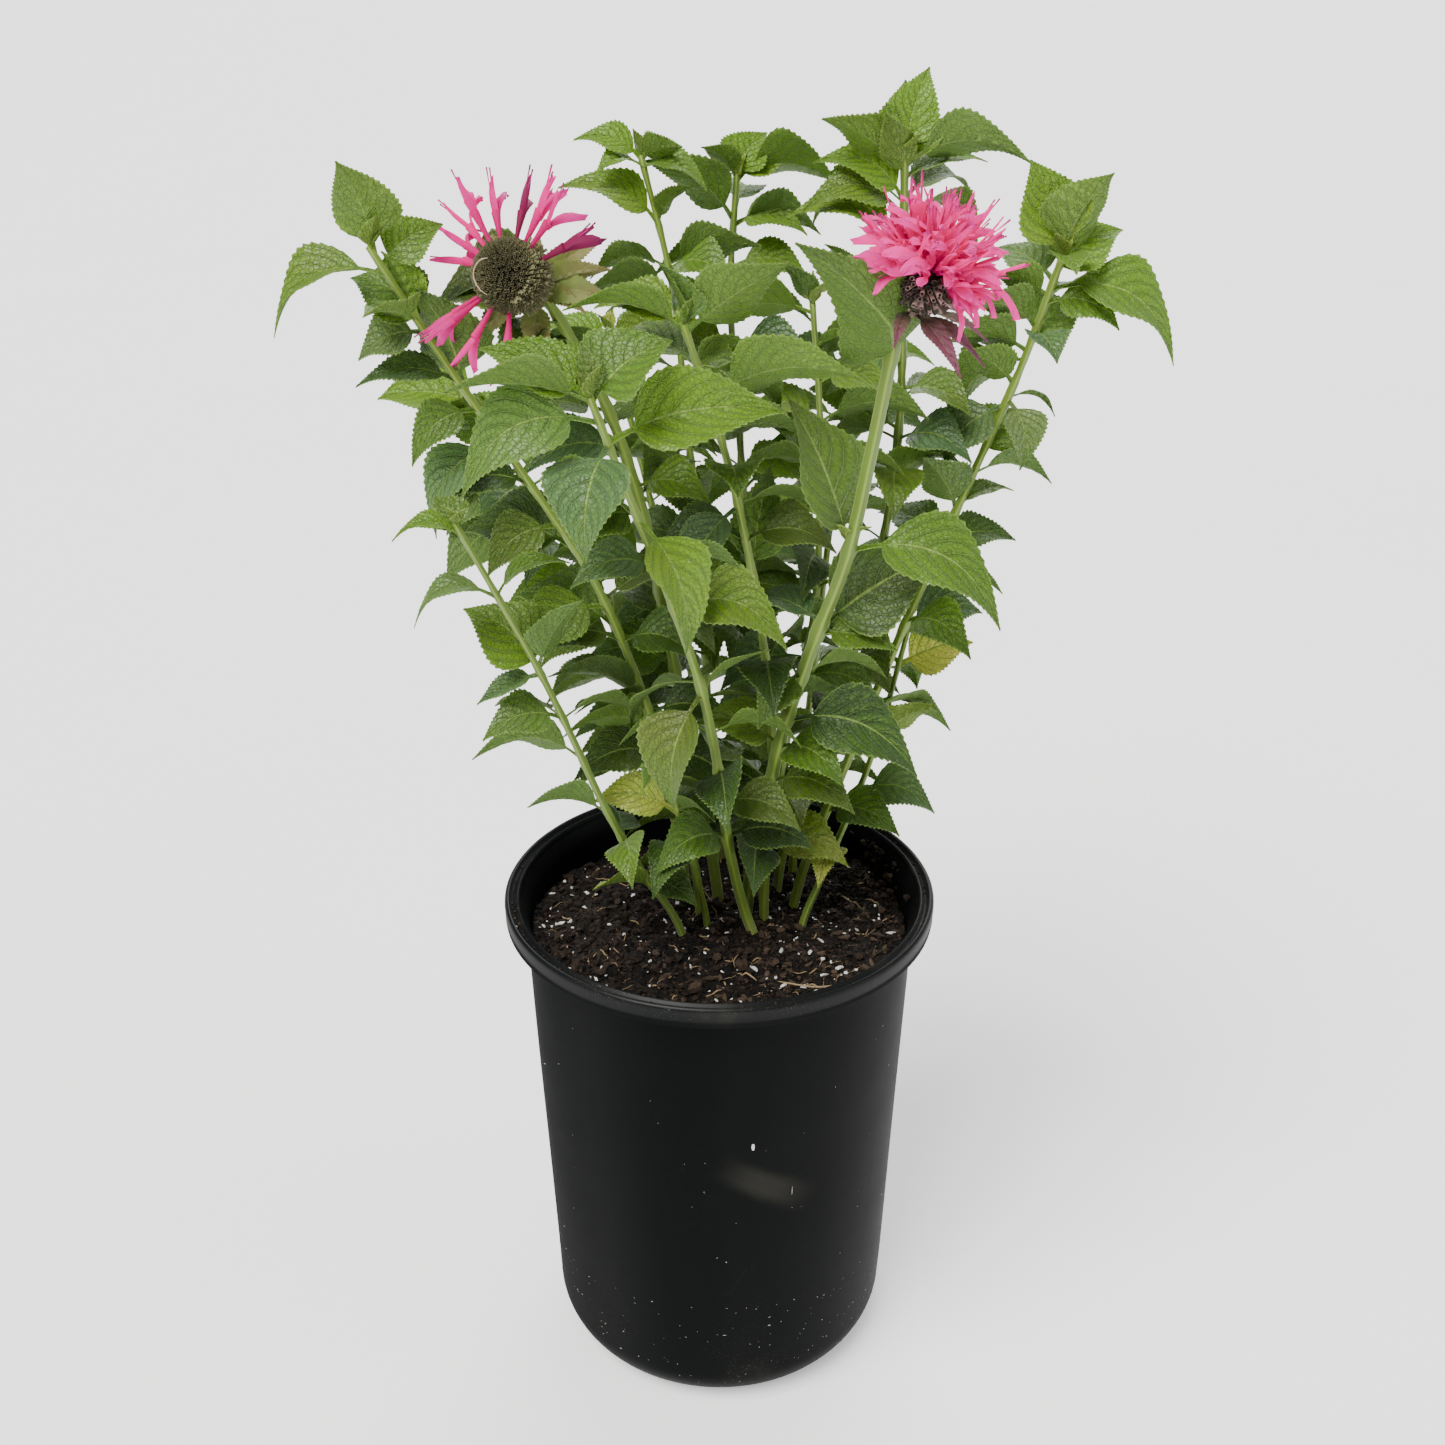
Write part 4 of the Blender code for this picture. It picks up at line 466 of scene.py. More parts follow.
class Value:
    """A socket of a material, on which Python's operators add Math nodes."""

    def __init__(self, paint, socket):
        self.paint = paint
        self.socket = socket

    def maths(self, operation, first, second=0.0):
        """A Math node on two numbers or sockets."""
        return self.paint.node("Math", {"operation": operation}, {0: first, 1: second})

    def __add__(self, other):
        return self.maths("ADD", self, other)

    def __radd__(self, other):
        return self.maths("ADD", other, self)

    def __sub__(self, other):
        return self.maths("SUBTRACT", self, other)

    def __rsub__(self, other):
        return self.maths("SUBTRACT", other, self)

    def __mul__(self, other):
        return self.maths("MULTIPLY", self, other)

    def __rmul__(self, other):
        return self.maths("MULTIPLY", other, self)

    def size(self):
        return self.maths("ABSOLUTE", self)

    def fraction(self):
        return self.maths("FRACT", self)

    def step(self, low, high):
        """0 below the low value, 1 above the high one, and smooth between."""
        return self.paint.node("MapRange", {"interpolation_type": "SMOOTHSTEP"},
                               {0: self, 1: low, 2: high, 3: 0.0, 4: 1.0})


class Paint:
    """A material in the making. One method adds any node and feeds its sockets."""

    def __init__(self, name):
        self.material = bpy.data.materials.new(name)
        self.material.use_nodes = True
        self.tree = self.material.node_tree
        for node in list(self.tree.nodes):
            self.tree.nodes.remove(node)
        self.surface = self.tree.nodes.new("ShaderNodeOutputMaterial").inputs["Surface"]
        self.place = self.node("TexCoord", {}, {}, "Object")

    def feed(self, socket, value):
        """Links a value to a socket, or sets the socket to a plain number or colour."""
        if isinstance(value, Value):
            self.tree.links.new(value.socket, socket)
        elif socket.type == "RGBA":
            socket.default_value = (*value, 1.0)
        else:
            socket.default_value = value

    def node(self, kind, settings, inputs, output=0):
        """Adds a node and returns one of its outputs."""
        made = self.tree.nodes.new("ShaderNode" + kind)
        for name, value in settings.items():
            setattr(made, name, value)
        for key, value in inputs.items():
            self.feed(made.inputs[key], value)
        return Value(self, made.outputs[output])

    def mix(self, factor, first, second):
        """The first colour at factor 0 and the second one at 1."""
        return self.node("Mix", {"data_type": "RGBA"}, {0: factor, 6: first, 7: second}, 2)

    def noise(self, scale, detail, place=None):
        """Soft noise from 0 to 1. The scale is in lumps to the metre."""
        return self.node("TexNoise", {}, {"Vector": place or self.place, "Scale": scale,
                                          "Detail": detail})

    def cells(self, scale, feature="F1", place=None):
        """Distance to the middle of the nearest cell, or to its edge."""
        return self.node("TexVoronoi", {"feature": feature},
                         {"Vector": place or self.place, "Scale": scale})

    def channels(self, *wanted):
        """Channels of the shade that make_piece's meshes carry, by number."""
        colour = self.node("Attribute", {"attribute_name": "shade"}, {}, "Color")
        return [self.node("SeparateColor", {}, {0: colour}, channel) for channel in wanted]

    def axes(self, place, *wanted):
        """Coordinates of a place, by number."""
        return [self.node("SeparateXYZ", {}, {0: place}, axis) for axis in wanted]

    def uv(self):
        """Both coordinates of the piece's own UV map."""
        return self.axes(self.node("UVMap", {"uv_map": "UVMap"}, {}), 0, 1)

    def stretched(self, scale, turn=(0.0, 0.0, 0.0)):
        """The place, turned and scaled along each axis."""
        return self.node("Mapping", {}, {0: self.place, 2: turn, 3: scale})

    def bump(self, height, strength, distance):
        """A normal that makes heights seem to stand out, by a distance in metres."""
        return self.node("Bump", {}, {"Height": height, "Strength": strength, "Distance": distance})

    def show(self, colour, roughness, normal, finish, thin=0.0, glow=None):
        """Ends the material. A thin part also lets a share of the light through."""
        sockets = {"Base Color": colour, "Roughness": roughness, **finish}
        if normal:
            sockets["Normal"] = normal
        body = self.node("BsdfPrincipled", {}, sockets)
        if thin:
            through = self.node("BsdfTranslucent", {}, glow or {"Color": colour})
            body = self.node("MixShader", {}, {0: thin, 1: body, 2: through})
        self.feed(self.surface, body)
        return self.material



def leaf_paint(name, look):
    """Leaf green with pale veins, a paler underside, and yellow where the leaf is old; darker beside
    the veins as painted shade, and lighter between them as painted highlight.
    """
    paint = Paint(name)
    vary, age, under = paint.channels(0, 1, 2)
    across, along = paint.uv()
    side = (across - 0.5).size() * 2.0
    rib = 1.0 - side.step(0.01, 0.055)
    run = along - (side * VEIN_CURVE + VEIN_SLANT) * side
    gap = ((run * VEINS + 0.5).fraction() - 0.5).size()
    vein = (1.0 - gap.step(0.01, 0.08)) * (1.0 - side.step(0.75, 1.0)) * along.step(0.0, 0.1)
    net = 1.0 - paint.cells(520.0, "DISTANCE_TO_EDGE").step(0.01, 0.12)
    blotch = paint.noise(38.0, 4.0)
    own = (vary * 41.0).fraction()
    # vary is each leaf's brightness from leaf_tint, which is partly painted light and painted shade
    green = paint.mix(vary, look.leaf_dark, look.leaf_light)
    green = paint.mix(own.step(0.55, 0.95) * 0.75, green, look.leaf_sheen)
    # the lighter band between the veins, where the blade bulges, is a painted highlight
    green = paint.mix(blotch.step(0.45, 0.8) * 0.25 + gap.step(0.1, 0.45) * 0.14, green,
                      look.leaf_light)
    # darker just beside the veins: painted shade in the creases
    crease_shade = (gap.step(0.02, 0.1) - gap.step(0.1, 0.3)) * (1.0 - side.step(0.8, 1.0))
    green = paint.mix(crease_shade * 0.28, green, look.leaf_dark)
    old = paint.mix(blotch.step(0.3, 0.7), look.leaf_yellow, look.leaf_lime)
    green = paint.mix(age, green, old)
    green = paint.mix(under * 0.7, green, look.leaf_under)
    lines = (rib * 0.8 + vein * 0.36 + side.step(0.94, 1.0) * 0.4) * (1.0 - 0.3 * under)
    green = paint.mix(lines, green, look.leaf_vein)
    relief = (net * 0.5 + rib * 0.6 + vein * 1.1) * -1.0 + paint.noise(1100.0, 2.0) * 0.5
    normal = paint.bump(relief, 0.9, 0.0007)
    gloss = 0.34 + blotch * 0.14 + under * 0.2
    finish = {"Specular IOR Level": 0.65, "Sheen Weight": 0.08, "Sheen Roughness": 0.4}
    glow = {"Color": paint.mix(0.5, green, look.leaf_lime), "Normal": normal}
    return paint.show(green, gloss, normal, finish, 0.3, glow)


def stem_paint(name, look):
    """Yellow green, lighter along the four ridges, with faint long streaks and purple flecks."""
    paint = Paint(name)
    vary, foot = paint.channels(0, 2)
    around = paint.uv()[0]
    ridge = ((around * 4.0 + 0.5).fraction() - 0.5).size()
    streak = paint.noise(60.0, 4.0, paint.stretched((6.0, 6.0, 0.5)))
    green = paint.mix(vary * 0.6 + streak * 0.4, look.stem_dark, look.stem_light)
    green = paint.mix((1.0 - ridge.step(0.03, 0.22)) * 0.6, green, look.stem_ridge)
    green = paint.mix(foot * streak.step(0.35, 0.65), green, look.stem_foot)
    normal = paint.bump(streak + paint.noise(1500.0, 2.0) * 0.5, 0.35, 0.0003)
    return paint.show(green, 0.45 + streak * 0.15, normal, {"Sheen Weight": 0.15})


def petal_paint(name, look):
    """Hot pink, paler at the lips' edges, deeper towards the base of each tube as painted shade among
    the florets, and glowing faintly as painted light.
    """
    paint = Paint(name)
    vary, wilt, part = paint.channels(0, 1, 2)
    streak = paint.noise(500.0, 3.0)
    # the deep pink is some florets' own tone, and also painted shade at the base of each tube, deep in
    # the head
    pink = paint.mix(vary, look.petal_deep_and_shade, look.petal_pink)
    pink = paint.mix(part * 0.5 + streak.step(0.45, 0.8) * 0.2, pink, look.petal_light)
    pink = paint.mix(wilt, pink, look.petal_wilt)
    normal = paint.bump(streak, 0.4, 0.0003)
    # the faint emission in the florets' own pink is a painted glow: they give light though they are no
    # lamp
    finish = {"Emission Color": pink, "Emission Strength": 0.1, "Specular IOR Level": 0.12}
    return paint.show(pink, 0.5, normal, finish, 0.35)


def husk_paint(name, colours, tip):
    """Dry ribbed tubes, from one colour to another, with their rims in a third, and their hollow
    mouths near black as painted shade.
    """
    paint = Paint(name)
    vary, rim, pit_shade = paint.channels(0, 1, 2)
    grain = paint.noise(900.0, 4.0)
    brown = paint.mix(vary * 0.7 + grain * 0.3, colours[0], colours[1])
    brown = paint.mix(rim, brown, tip)
    # the hollow in each tube's mouth is painted near black: painted shade
    brown = paint.mix(pit_shade, brown, (0.008, 0.006, 0.004))
    normal = paint.bump(grain, 0.6, 0.0004)
    return paint.show(brown, 0.75 + grain * 0.15, normal, {"Specular IOR Level": 0.3})


def bract_paint(name, base, tip, rib_colour):
    """A bract, from its base colour to its tip colour, with a pale midrib."""
    paint = Paint(name)
    vary = paint.channels(0)[0]
    across, along = paint.uv()
    side = (across - 0.5).size() * 2.0
    rib = (1.0 - side.step(0.03, 0.14)) * (1.0 - along.step(0.6, 1.0))
    vein = 1.0 - ((along * VEINS + 0.5).fraction() - 0.5).size().step(0.02, 0.16)
    blotch = paint.noise(160.0, 4.0)
    reach = (along + blotch * 0.5 - 0.25 + vary * 0.3).step(0.15, 0.85)
    colour = paint.mix(reach, base, tip)
    colour = paint.mix(rib * 0.6 + vein * 0.15, colour, rib_colour)
    normal = paint.bump(blotch - rib - vein * 0.6, 0.5, 0.0004)
    return paint.show(colour, 0.55, normal, {"Sheen Weight": 0.1}, 0.2)


def pot_paint(name, look):
    """Satin black plastic, with fine scratches, dust low down, dust on the rim that is partly a
    painted sheen, and a pale painted highlight by the dent.
    """
    paint = Paint(name)
    x, y, z = paint.axes(paint.place, 0, 1, 2)
    scuff = paint.noise(38.0, 6.0)
    smear = paint.noise(14.0, 4.0, paint.stretched((1.0, 1.0, 0.12)))
    lines = paint.stretched((0.35, 1.0, 0.12), (0.5, 0.2, 0.8))
    scratch = 1.0 - paint.cells(160.0, "DISTANCE_TO_EDGE", lines).step(0.0, 0.012)
    scratch = scratch * paint.noise(20.0, 2.0).step(0.56, 0.7)
    specks = paint.noise(1400.0, 2.0).step(0.62, 0.70) * paint.noise(30.0, 2.0).step(0.42, 0.62)
    low = 1.0 - z.step(0.012, 0.075)
    high = z.step(0.2185, 0.2275)
    # the rim's extra dust is real dust and partly a painted sheen on the rim
    dust_and_highlight = (scuff.step(0.5, 0.8) * 0.3 + specks * 0.6) * (0.25 + 0.4 * low + 1.0 * high)
    # a pale patch by the dent, painted where the dent catches the light: a painted highlight
    right = x - DENT_HIGHLIGHT_PLACE[0]
    up = z - DENT_HIGHLIGHT_PLACE[1]
    length = right * DENT_HIGHLIGHT_LEAN[0] - up * DENT_HIGHLIGHT_LEAN[1]
    breadth = right * DENT_HIGHLIGHT_LEAN[1] + up * DENT_HIGHLIGHT_LEAN[0] + (scuff - 0.5) * 0.004
    dent_highlight = 1.0 - (length * 37.0).size().step(0.1, 1.0)
    dent_highlight = dent_highlight * (1.0 - (breadth * 105.0).size().step(0.25, 1.0)) * (1.0 - y.step(-0.04, -0.02))
    # the pale patch joins the dust here: real dust and scratches, with the painted highlight by the
    # dent
    dust_and_highlight = (dust_and_highlight + scratch * 0.08).step(0.0, 1.0) + dent_highlight * 0.22
    black = paint.mix(smear.step(0.35, 0.7), look.pot_black, look.pot_sheen)
    black = paint.mix(dust_and_highlight, black, look.pot_dust_and_highlight)
    relief = scuff * 0.4 + paint.noise(1100.0, 2.0) * 0.25 + scratch * -0.5
    gloss = 0.32 + smear * 0.14 + scuff * 0.1 + dust_and_highlight * 0.3 + (1.0 - x.step(-0.085, -0.03)) * 0.3
    finish = {"Specular IOR Level": 0.025, "Coat Weight": high * 0.25, "Coat Roughness": 0.35}
    return paint.show(black, gloss, paint.bump(relief, 0.35, 0.0003), finish)


def soil_paint(name, look):
    """Damp peat: near black to red brown, in crumbs of many sizes, near black between the crumbs as
    painted shade.
    """
    paint = Paint(name)
    coarse = paint.noise(70.0, 6.0)
    fine = paint.noise(600.0, 5.0)
    warm = paint.noise(14.0, 3.0)
    crumb = 1.0 - paint.cells(420.0).step(0.1, 0.75)
    brown = paint.mix(coarse.step(0.35, 0.7), look.soil_dark_and_shade, look.soil_brown)
    brown = paint.mix(warm.step(0.42, 0.62) * fine.step(0.4, 0.75), brown, look.soil_red)
    # near black between the crumbs: painted shade in the gaps
    brown = paint.mix((1.0 - crumb) * 0.7, brown, look.soil_dark_and_shade)
    normal = paint.bump(coarse + fine * 0.8 + crumb * 0.9, 1.0, 0.003)
    return paint.show(brown, 0.7 + fine * 0.25, normal, {"Specular IOR Level": 0.2})


def crumb_paint(name, first, second, roughness):
    """Grains of one kind, each between two colours, mottled."""
    paint = Paint(name)
    vary, wet = paint.channels(0, 1)
    grain = paint.noise(1300.0, 4.0)
    colour = paint.mix(vary * 0.75 + grain * 0.25, first, second)
    normal = paint.bump(grain, 1.0, 0.001)
    return paint.show(colour, roughness - wet * 0.2, normal, {"Specular IOR Level": 0.15})


def floor_paint(name):
    """Plain pale floor that glows a little."""
    paint = Paint(name)
    tone = paint.mix(paint.noise(3.0, 2.0), (0.90, 0.90, 0.90), (0.93, 0.93, 0.93))
    finish = {"Specular IOR Level": 0.2, "Emission Color": (1.0, 1.0, 1.0), "Emission Strength": 0.4}
    return paint.show(tone, 0.9, None, finish)


def smooth_route(points, count):
    """Evenly spaced points on a Catmull-Rom curve through the route's own points."""
    route = [Vector(point) for point in points]
    ends = [route[0] * 2.0 - route[1]] + route + [route[-1] * 2.0 - route[-2]]
    dense = []
    for index in range(1, len(ends) - 2):
        before, start, end, after = ends[index - 1:index + 3]
        square = 2.0 * before - 5.0 * start + 4.0 * end - after
        cube = 3.0 * start - before - 3.0 * end + after
        for step in range(12):
            part = step / 12.0
            dense.append(0.5 * (2.0 * start + (end - before) * part + square * part * part
                                + cube * part ** 3))
    dense.append(route[-1])
    lengths = [0.0]
    for first, second in zip(dense, dense[1:]):
        lengths.append(lengths[-1] + (second - first).length)
    samples = []
    for index in range(count):
        target = lengths[-1] * index / (count - 1)
        place = max(1, next(i for i, value in enumerate(lengths) if value >= target - 1e-9))
        share = (target - lengths[place - 1]) / (lengths[place] - lengths[place - 1])
        samples.append(dense[place - 1].lerp(dense[place], share))
    return samples


def stem_samples(name):
    """Points along a shoot's stem, ended just below its flower head where it has one."""
    route = SHOOTS[name]["route"]
    if name not in HEADS:
        return smooth_route(route, STEM_SAMPLES)
    centre, axis, below = HEADS[name]
    unit = Vector(axis).normalized()
    seat = Vector(centre) - unit * (below + 2.0 * FIT + COLLAR_HEIGHT)
    return smooth_route(route + [seat - unit * NECK_LENGTH], STEM_SAMPLES) + [seat]


def node_point(samples, height):
    """The point on the stem at a height."""
    for first, second in zip(samples, samples[1:]):
        if first.z <= height <= second.z:
            return first.lerp(second, (height - first.z) / (second.z - first.z))
    return samples[-1].copy()


def stalk_share(length):
    """How much of a leaf's length its stalk takes."""
    return 0.16 if length > 20.0 else 0.12


def half_width(share, petiole, widest, form=LEAF_FORM):
    """Half width of a leaf at a share of its length: a stalk, then an ovate blade."""
    if share <= petiole:
        return PETIOLE_HALF
    blade = (share - petiole) / (1.0 - petiole)
    return max(TIP_HALF, widest * math.sin(math.pi * blade ** form) ** 1.1)


def leaf_frame(reach, turn):
    """Width and face directions of a leaf, the face turned towards the front by an angle."""
    along = reach.normalized()
    flat = Vector((reach.x, reach.y, 0.0))
    if flat.length < 0.15 * reach.length:
        flat = flat + FRONT * 0.3 * reach.length
    side = UP.cross(flat).normalized()
    side = (side - along * side.dot(along)).normalized()
    face = along.cross(side)
    if face.z < 0.0 and abs(face.z) > 0.2:
        face = -face
        side = -side
    lean = side if side.dot(FRONT) * face.dot(FRONT) >= 0.0 else -side
    square_on = math.atan2(abs(side.dot(FRONT)), abs(face.dot(FRONT)))
    angle = min(math.radians(turn), square_on)
    new_face = face * math.cos(angle) + lean * math.sin(angle)
    return new_face.cross(along).normalized(), new_face


def turned_reach(reach, turn, lift, size):
    """A leaf's reach turned round the Z axis, lifted and shortened."""
    spun = Matrix.Rotation(math.radians(turn), 3, "Z") @ reach
    level = UP.cross(spun)
    if level.length > 0.1:
        spun = Matrix.Rotation(math.radians(-lift), 3, level.normalized()) @ spun
    return spun * size


def written_out(pairs):
    """Plain pairs, from the top down, each written out as its two leaves."""
    leaves = []
    for height, heading, length in reversed(pairs):
        for angle in (math.radians(heading), math.radians(heading + 180.0)):
            leaves.append((height, length * math.cos(angle), length * math.sin(angle),
                           -PAIR_DROOP * length, PAIR_BOW * length, PAIR_RATIO, PAIR_TURN))
    return leaves


def all_leaves(shoot):
    """The shoot's own leaves and pairs, and then the leaves that fill the gaps."""
    own = list(reversed(shoot["leaves"])) + written_out(shoot.get("pairs", []))
    return own + shoot.get("fill", []) + written_out(shoot.get("fill_pairs", []))


def spine_point(root, reach, bow, share):
    """A point on a leaf's bowed midrib."""
    rise = (UP - reach * (UP.dot(reach) / reach.length_squared)).normalized()
    middle = root + 0.5 * reach + 2.0 * bow * rise
    return root.lerp(middle, share).lerp(middle.lerp(root + reach, share), share)


def solid_corners(root, reach, bow, ratio, turn):
    """The outer corners of the solid leaf's blade, by the same rules as the solids have."""
    length = reach.length
    rows = 3 if length < FOUR_ROWS else 4 if length < FIVE_ROWS else 5
    petiole = stalk_share(length)
    side, face = leaf_frame(reach, turn)
    corners = []
    for row in range(2, rows + 1):
        half = half_width(row / rows, petiole, 0.5 * BREADTH * ratio * length)
        if 1 < row < rows:
            half *= 1.0 + (TOOTH if row % 2 else -TOOTH)
        spine = spine_point(root, reach, bow, row / rows)
        for across in (-1.0, 1.0):
            corners.append(spine + side * across * half + face * half * FOLD)
    return corners


def matched_leaf(tree, root, plain, bow, ratio, turn):
    """How the solid has bent a leaf of this plain reach: its reach and bow, or None where it was
    left out."""
    for size in SIZES:
        for lift in LIFTS:
            for spin in TURNS:
                reach = turned_reach(plain, spin, lift, size)
                corners = solid_corners(root, reach, bow * size, ratio, turn)
                if all(tree.find_nearest(corner * MM, MATCH * MM)[0] for corner in corners):
                    return reach, bow * size
    return None


def new_shape():
    """An empty shape whose corners can hold a UV and whose vertices can hold a shade."""
    shape = bmesh.new()
    shape.loops.layers.uv.new("UVMap")
    shape.verts.layers.float_color.new("shade")
    return shape


def grid_places(grid, columns, rows):
    """Each vertex of a fresh grid with its column and row."""
    return [(vertex, round((vertex.co.x + 1.0) * 0.5 * columns),
             round((vertex.co.y + 1.0) * 0.5 * rows)) for vertex in grid]


def faces_of(verts):
    """The faces round these vertices."""
    return list({face for vertex in verts if vertex.is_valid for face in vertex.link_faces})


def map_grid(shape, places, uv_of):
    """Writes a UV to every corner of a grid, from its vertex's column and row."""
    layer = shape.loops.layers.uv["UVMap"]
    for vertex, column, row in places:
        for loop in vertex.link_loops:
            loop[layer].uv = uv_of(column, row)


def tube(shape, spine, radii, sides, shade, ridge=0.0):
    """A closed tube round a spine, in millimetres. A ridge gives its section four corners."""
    rows = len(spine) - 1
    grid = bmesh.ops.create_grid(shape, x_segments=sides, y_segments=rows, size=1.0)["verts"]
    places = grid_places(grid, sides, rows)
    map_grid(shape, places, lambda column, row: (column / sides, row / rows))
    colours = shape.verts.layers.float_color["shade"]
    for vertex, column, row in places:
        along = (spine[min(row + 1, rows)] - spine[max(row - 1, 0)]).normalized()
        helper = FRONT if abs(along.y) < 0.9 else UP
        side = helper.cross(along).normalized()
        other = along.cross(side)
        angle = math.tau * (column % sides) / sides
        radius = radii[row] * (1.0 - ridge + ridge * math.cos(4.0 * angle))
        vertex.co = (spine[row] + (side * math.cos(angle) + other * math.sin(angle)) * radius) * MM
        vertex[colours] = (*shade(row / rows), 1.0)
    bmesh.ops.remove_doubles(shape, verts=grid, dist=0.002 * MM)
    rims = list({edge for vertex in grid if vertex.is_valid for edge in vertex.link_edges
                 if edge.is_boundary})
    bmesh.ops.holes_fill(shape, edges=rims, sides=sides)


def strip(shape, columns, rows, thick, point_of, shade_of, uv_of):
    """A thin closed sheet from a grid: each place and colour comes from its column and row.
    Returns the vertices of the grid and those of the side that gives it its thickness."""
    colours = shape.verts.layers.float_color["shade"]
    grid = bmesh.ops.create_grid(shape, x_segments=columns, y_segments=rows, size=1.0)["verts"]
    places = grid_places(grid, columns, rows)
    map_grid(shape, places, uv_of)
    for vertex, column, row in places:
        vertex.co = point_of(column, row) * MM
        vertex[colours] = (*shade_of(column, row), 1.0)
    faces = faces_of(grid)
    known = set(grid)
    made = bmesh.ops.solidify(shape, geom=faces, thickness=thick * MM)["geom"]
    back = [part for part in made if isinstance(part, bmesh.types.BMVert) and part not in known]
    return grid, back


def linked(name, data):
    """An object in the scene that shows this data."""
    made = bpy.data.objects.new(name, data)
    bpy.context.scene.collection.objects.link(made)
    return made


def mesh_object(name, shape):
    """An object in the scene that shows this shape. The shape itself is given up."""
    mesh = bpy.data.meshes.new(name)
    shape.to_mesh(mesh)
    shape.free()
    return linked(name, mesh)


def make_piece(name, shape, material, nodes, sharp=None):
    """The finished object: faces out, smooth, riding on the root, for the nodes that it replaces."""
    bmesh.ops.recalc_face_normals(shape, faces=shape.faces[:])
    for face in shape.faces:
        face.smooth = True
    if sharp:
        for edge in shape.edges:
            if len(edge.link_faces) == 2 and edge.calc_face_angle() > sharp:
                edge.smooth = False
    piece = mesh_object(name, shape)
    piece.data.materials.append(material)
    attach(piece, "root")
    if nodes:
        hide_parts(*nodes)
    return piece


def fine_leaf(shape, root, reach, bow, ratio, turn, look, tint, rng, start=None, form=LEAF_FORM):
    """A toothed leaf with sunk veins, on the same midrib and width as the solid one."""
    length = reach.length
    small = length < SMALL_LEAF
    spread = SMALL_COLUMNS if small else COLUMNS
    blade_rows = SMALL_BLADE_ROWS if small else BLADE_ROWS
    rows = STALK_ROWS + blade_rows
    petiole = stalk_share(length) * (form / LEAF_FORM) ** 3
    widest = 0.5 * BREADTH * ratio * length
    side, face = leaf_frame(reach, turn)
    phase = rng.uniform(0.0, math.tau)
    wave = rng.uniform(0.5, 1.3)
    sweep = rng.gauss(0.0, 0.022) * length
    curl = rng.uniform(-0.01, 0.05) * length
    fold = (FOLD if length >= FOLDED_LENGTH else 0.7 * FOLD) * rng.uniform(0.9, 1.8)
    shift = (start - root) if start else Vector()

    def place(column, row):
        across = spread[column]
        width = abs(across)
        if row <= STALK_ROWS:
            share = petiole * row / STALK_ROWS
            half = PETIOLE_HALF * (1.0 + 0.5 * (1.0 - row / STALK_ROWS))
            point = spine_point(root, reach, bow, share) + side * across * half
            point += face * (width - 0.5) * half * 0.6
        else:
            even = (row - STALK_ROWS) / blade_rows
            blade = even ** 1.1
            blade += look.vein_lean * width * 4.0 * blade * (1.0 - blade)
            swell = math.sin(math.pi * min(1.0, blade)) ** 0.5
            tooth = 0.0
            # every second row of the margin is the tip of a tooth
            if width == 1.0 and row < rows:
                tooth = (look.tooth if row % 2 else -0.6 * look.tooth) * swell
                blade = min(1.0, blade + (0.01 if row % 2 else -0.004))
            share = petiole + (1.0 - petiole) * min(1.0, blade)
            half = half_width(share, petiole, widest, form)
            if row == rows:
                half = TIP_POINT
            half += tooth * min(1.0, widest / FULL_TOOTH)
            point = spine_point(root, reach, bow, share) + side * across * half
            # the fold along the midrib, the wavy edge and the curl of the tip
            lift = half * fold * width ** 1.3
            lift += half * 0.11 * wave * width ** 2 * math.sin(blade * 9.0 + phase + 1.7 * across)
            lift -= curl * blade ** 3
            # sunk side veins and midrib
            if not small and 0.0 < width < 1.0:
                run = even - VEIN_SLANT * width - VEIN_CURVE * width ** 2
                quilt = math.cos(math.tau * VEINS * run)
                lift -= look.quilt * quilt * swell * (1.0 - 0.4 * width)
            if width == 0.0:
                lift -= look.quilt * swell
            point += face * lift + side * sweep * blade ** 2
        return point + shift * max(0.0, 1.0 - row / (rows * 0.35))

    def uv(column, row):
        return 0.5 + 0.5 * spread[column], max(0.0, (row - STALK_ROWS) / blade_rows)

    colours = shape.verts.layers.float_color["shade"]
    grid, back = strip(shape, len(spread) - 1, rows, look.leaf_thick, place,
                       lambda column, row: (*tint, 0.0), uv)
    centre = sum((vertex.co for vertex in grid), Vector()) / len(grid)
    behind = sum((vertex.co for vertex in back), Vector()) / len(back)
    lower = back if (behind - centre).dot(face) < 0.0 else grid
    for vertex in lower:
        vertex[colours] = (*tint, 1.0, 1.0)


def shoot_stem(shape, samples, radius, heights, rng):
    """The square stem through its samples, thicker at every leaf node."""
    spine = smooth_route(samples, 8 * len(samples))
    radii = []
    for index, point in enumerate(spine):
        share = index / (len(spine) - 1)
        plain = radius[0] + (radius[1] - radius[0]) * share
        knot = max((math.exp(-((point.z - height) / 2.2) ** 2) for height in heights), default=0.0)
        radii.append(plain * (1.0 + 0.3 * knot))
    bright = rng.uniform(0.2, 0.9)
    tube(shape, spine, radii, 16, lambda share: (bright, 0.0, max(0.0, 1.0 - share * 5.0)), 0.1)
    return spine


def pointing(bearing, rise):
    """The direction of length 1 with this bearing and rise, both in radians."""
    flat = math.cos(rise)
    return Vector((flat * math.cos(bearing), flat * math.sin(bearing), math.sin(rise)))


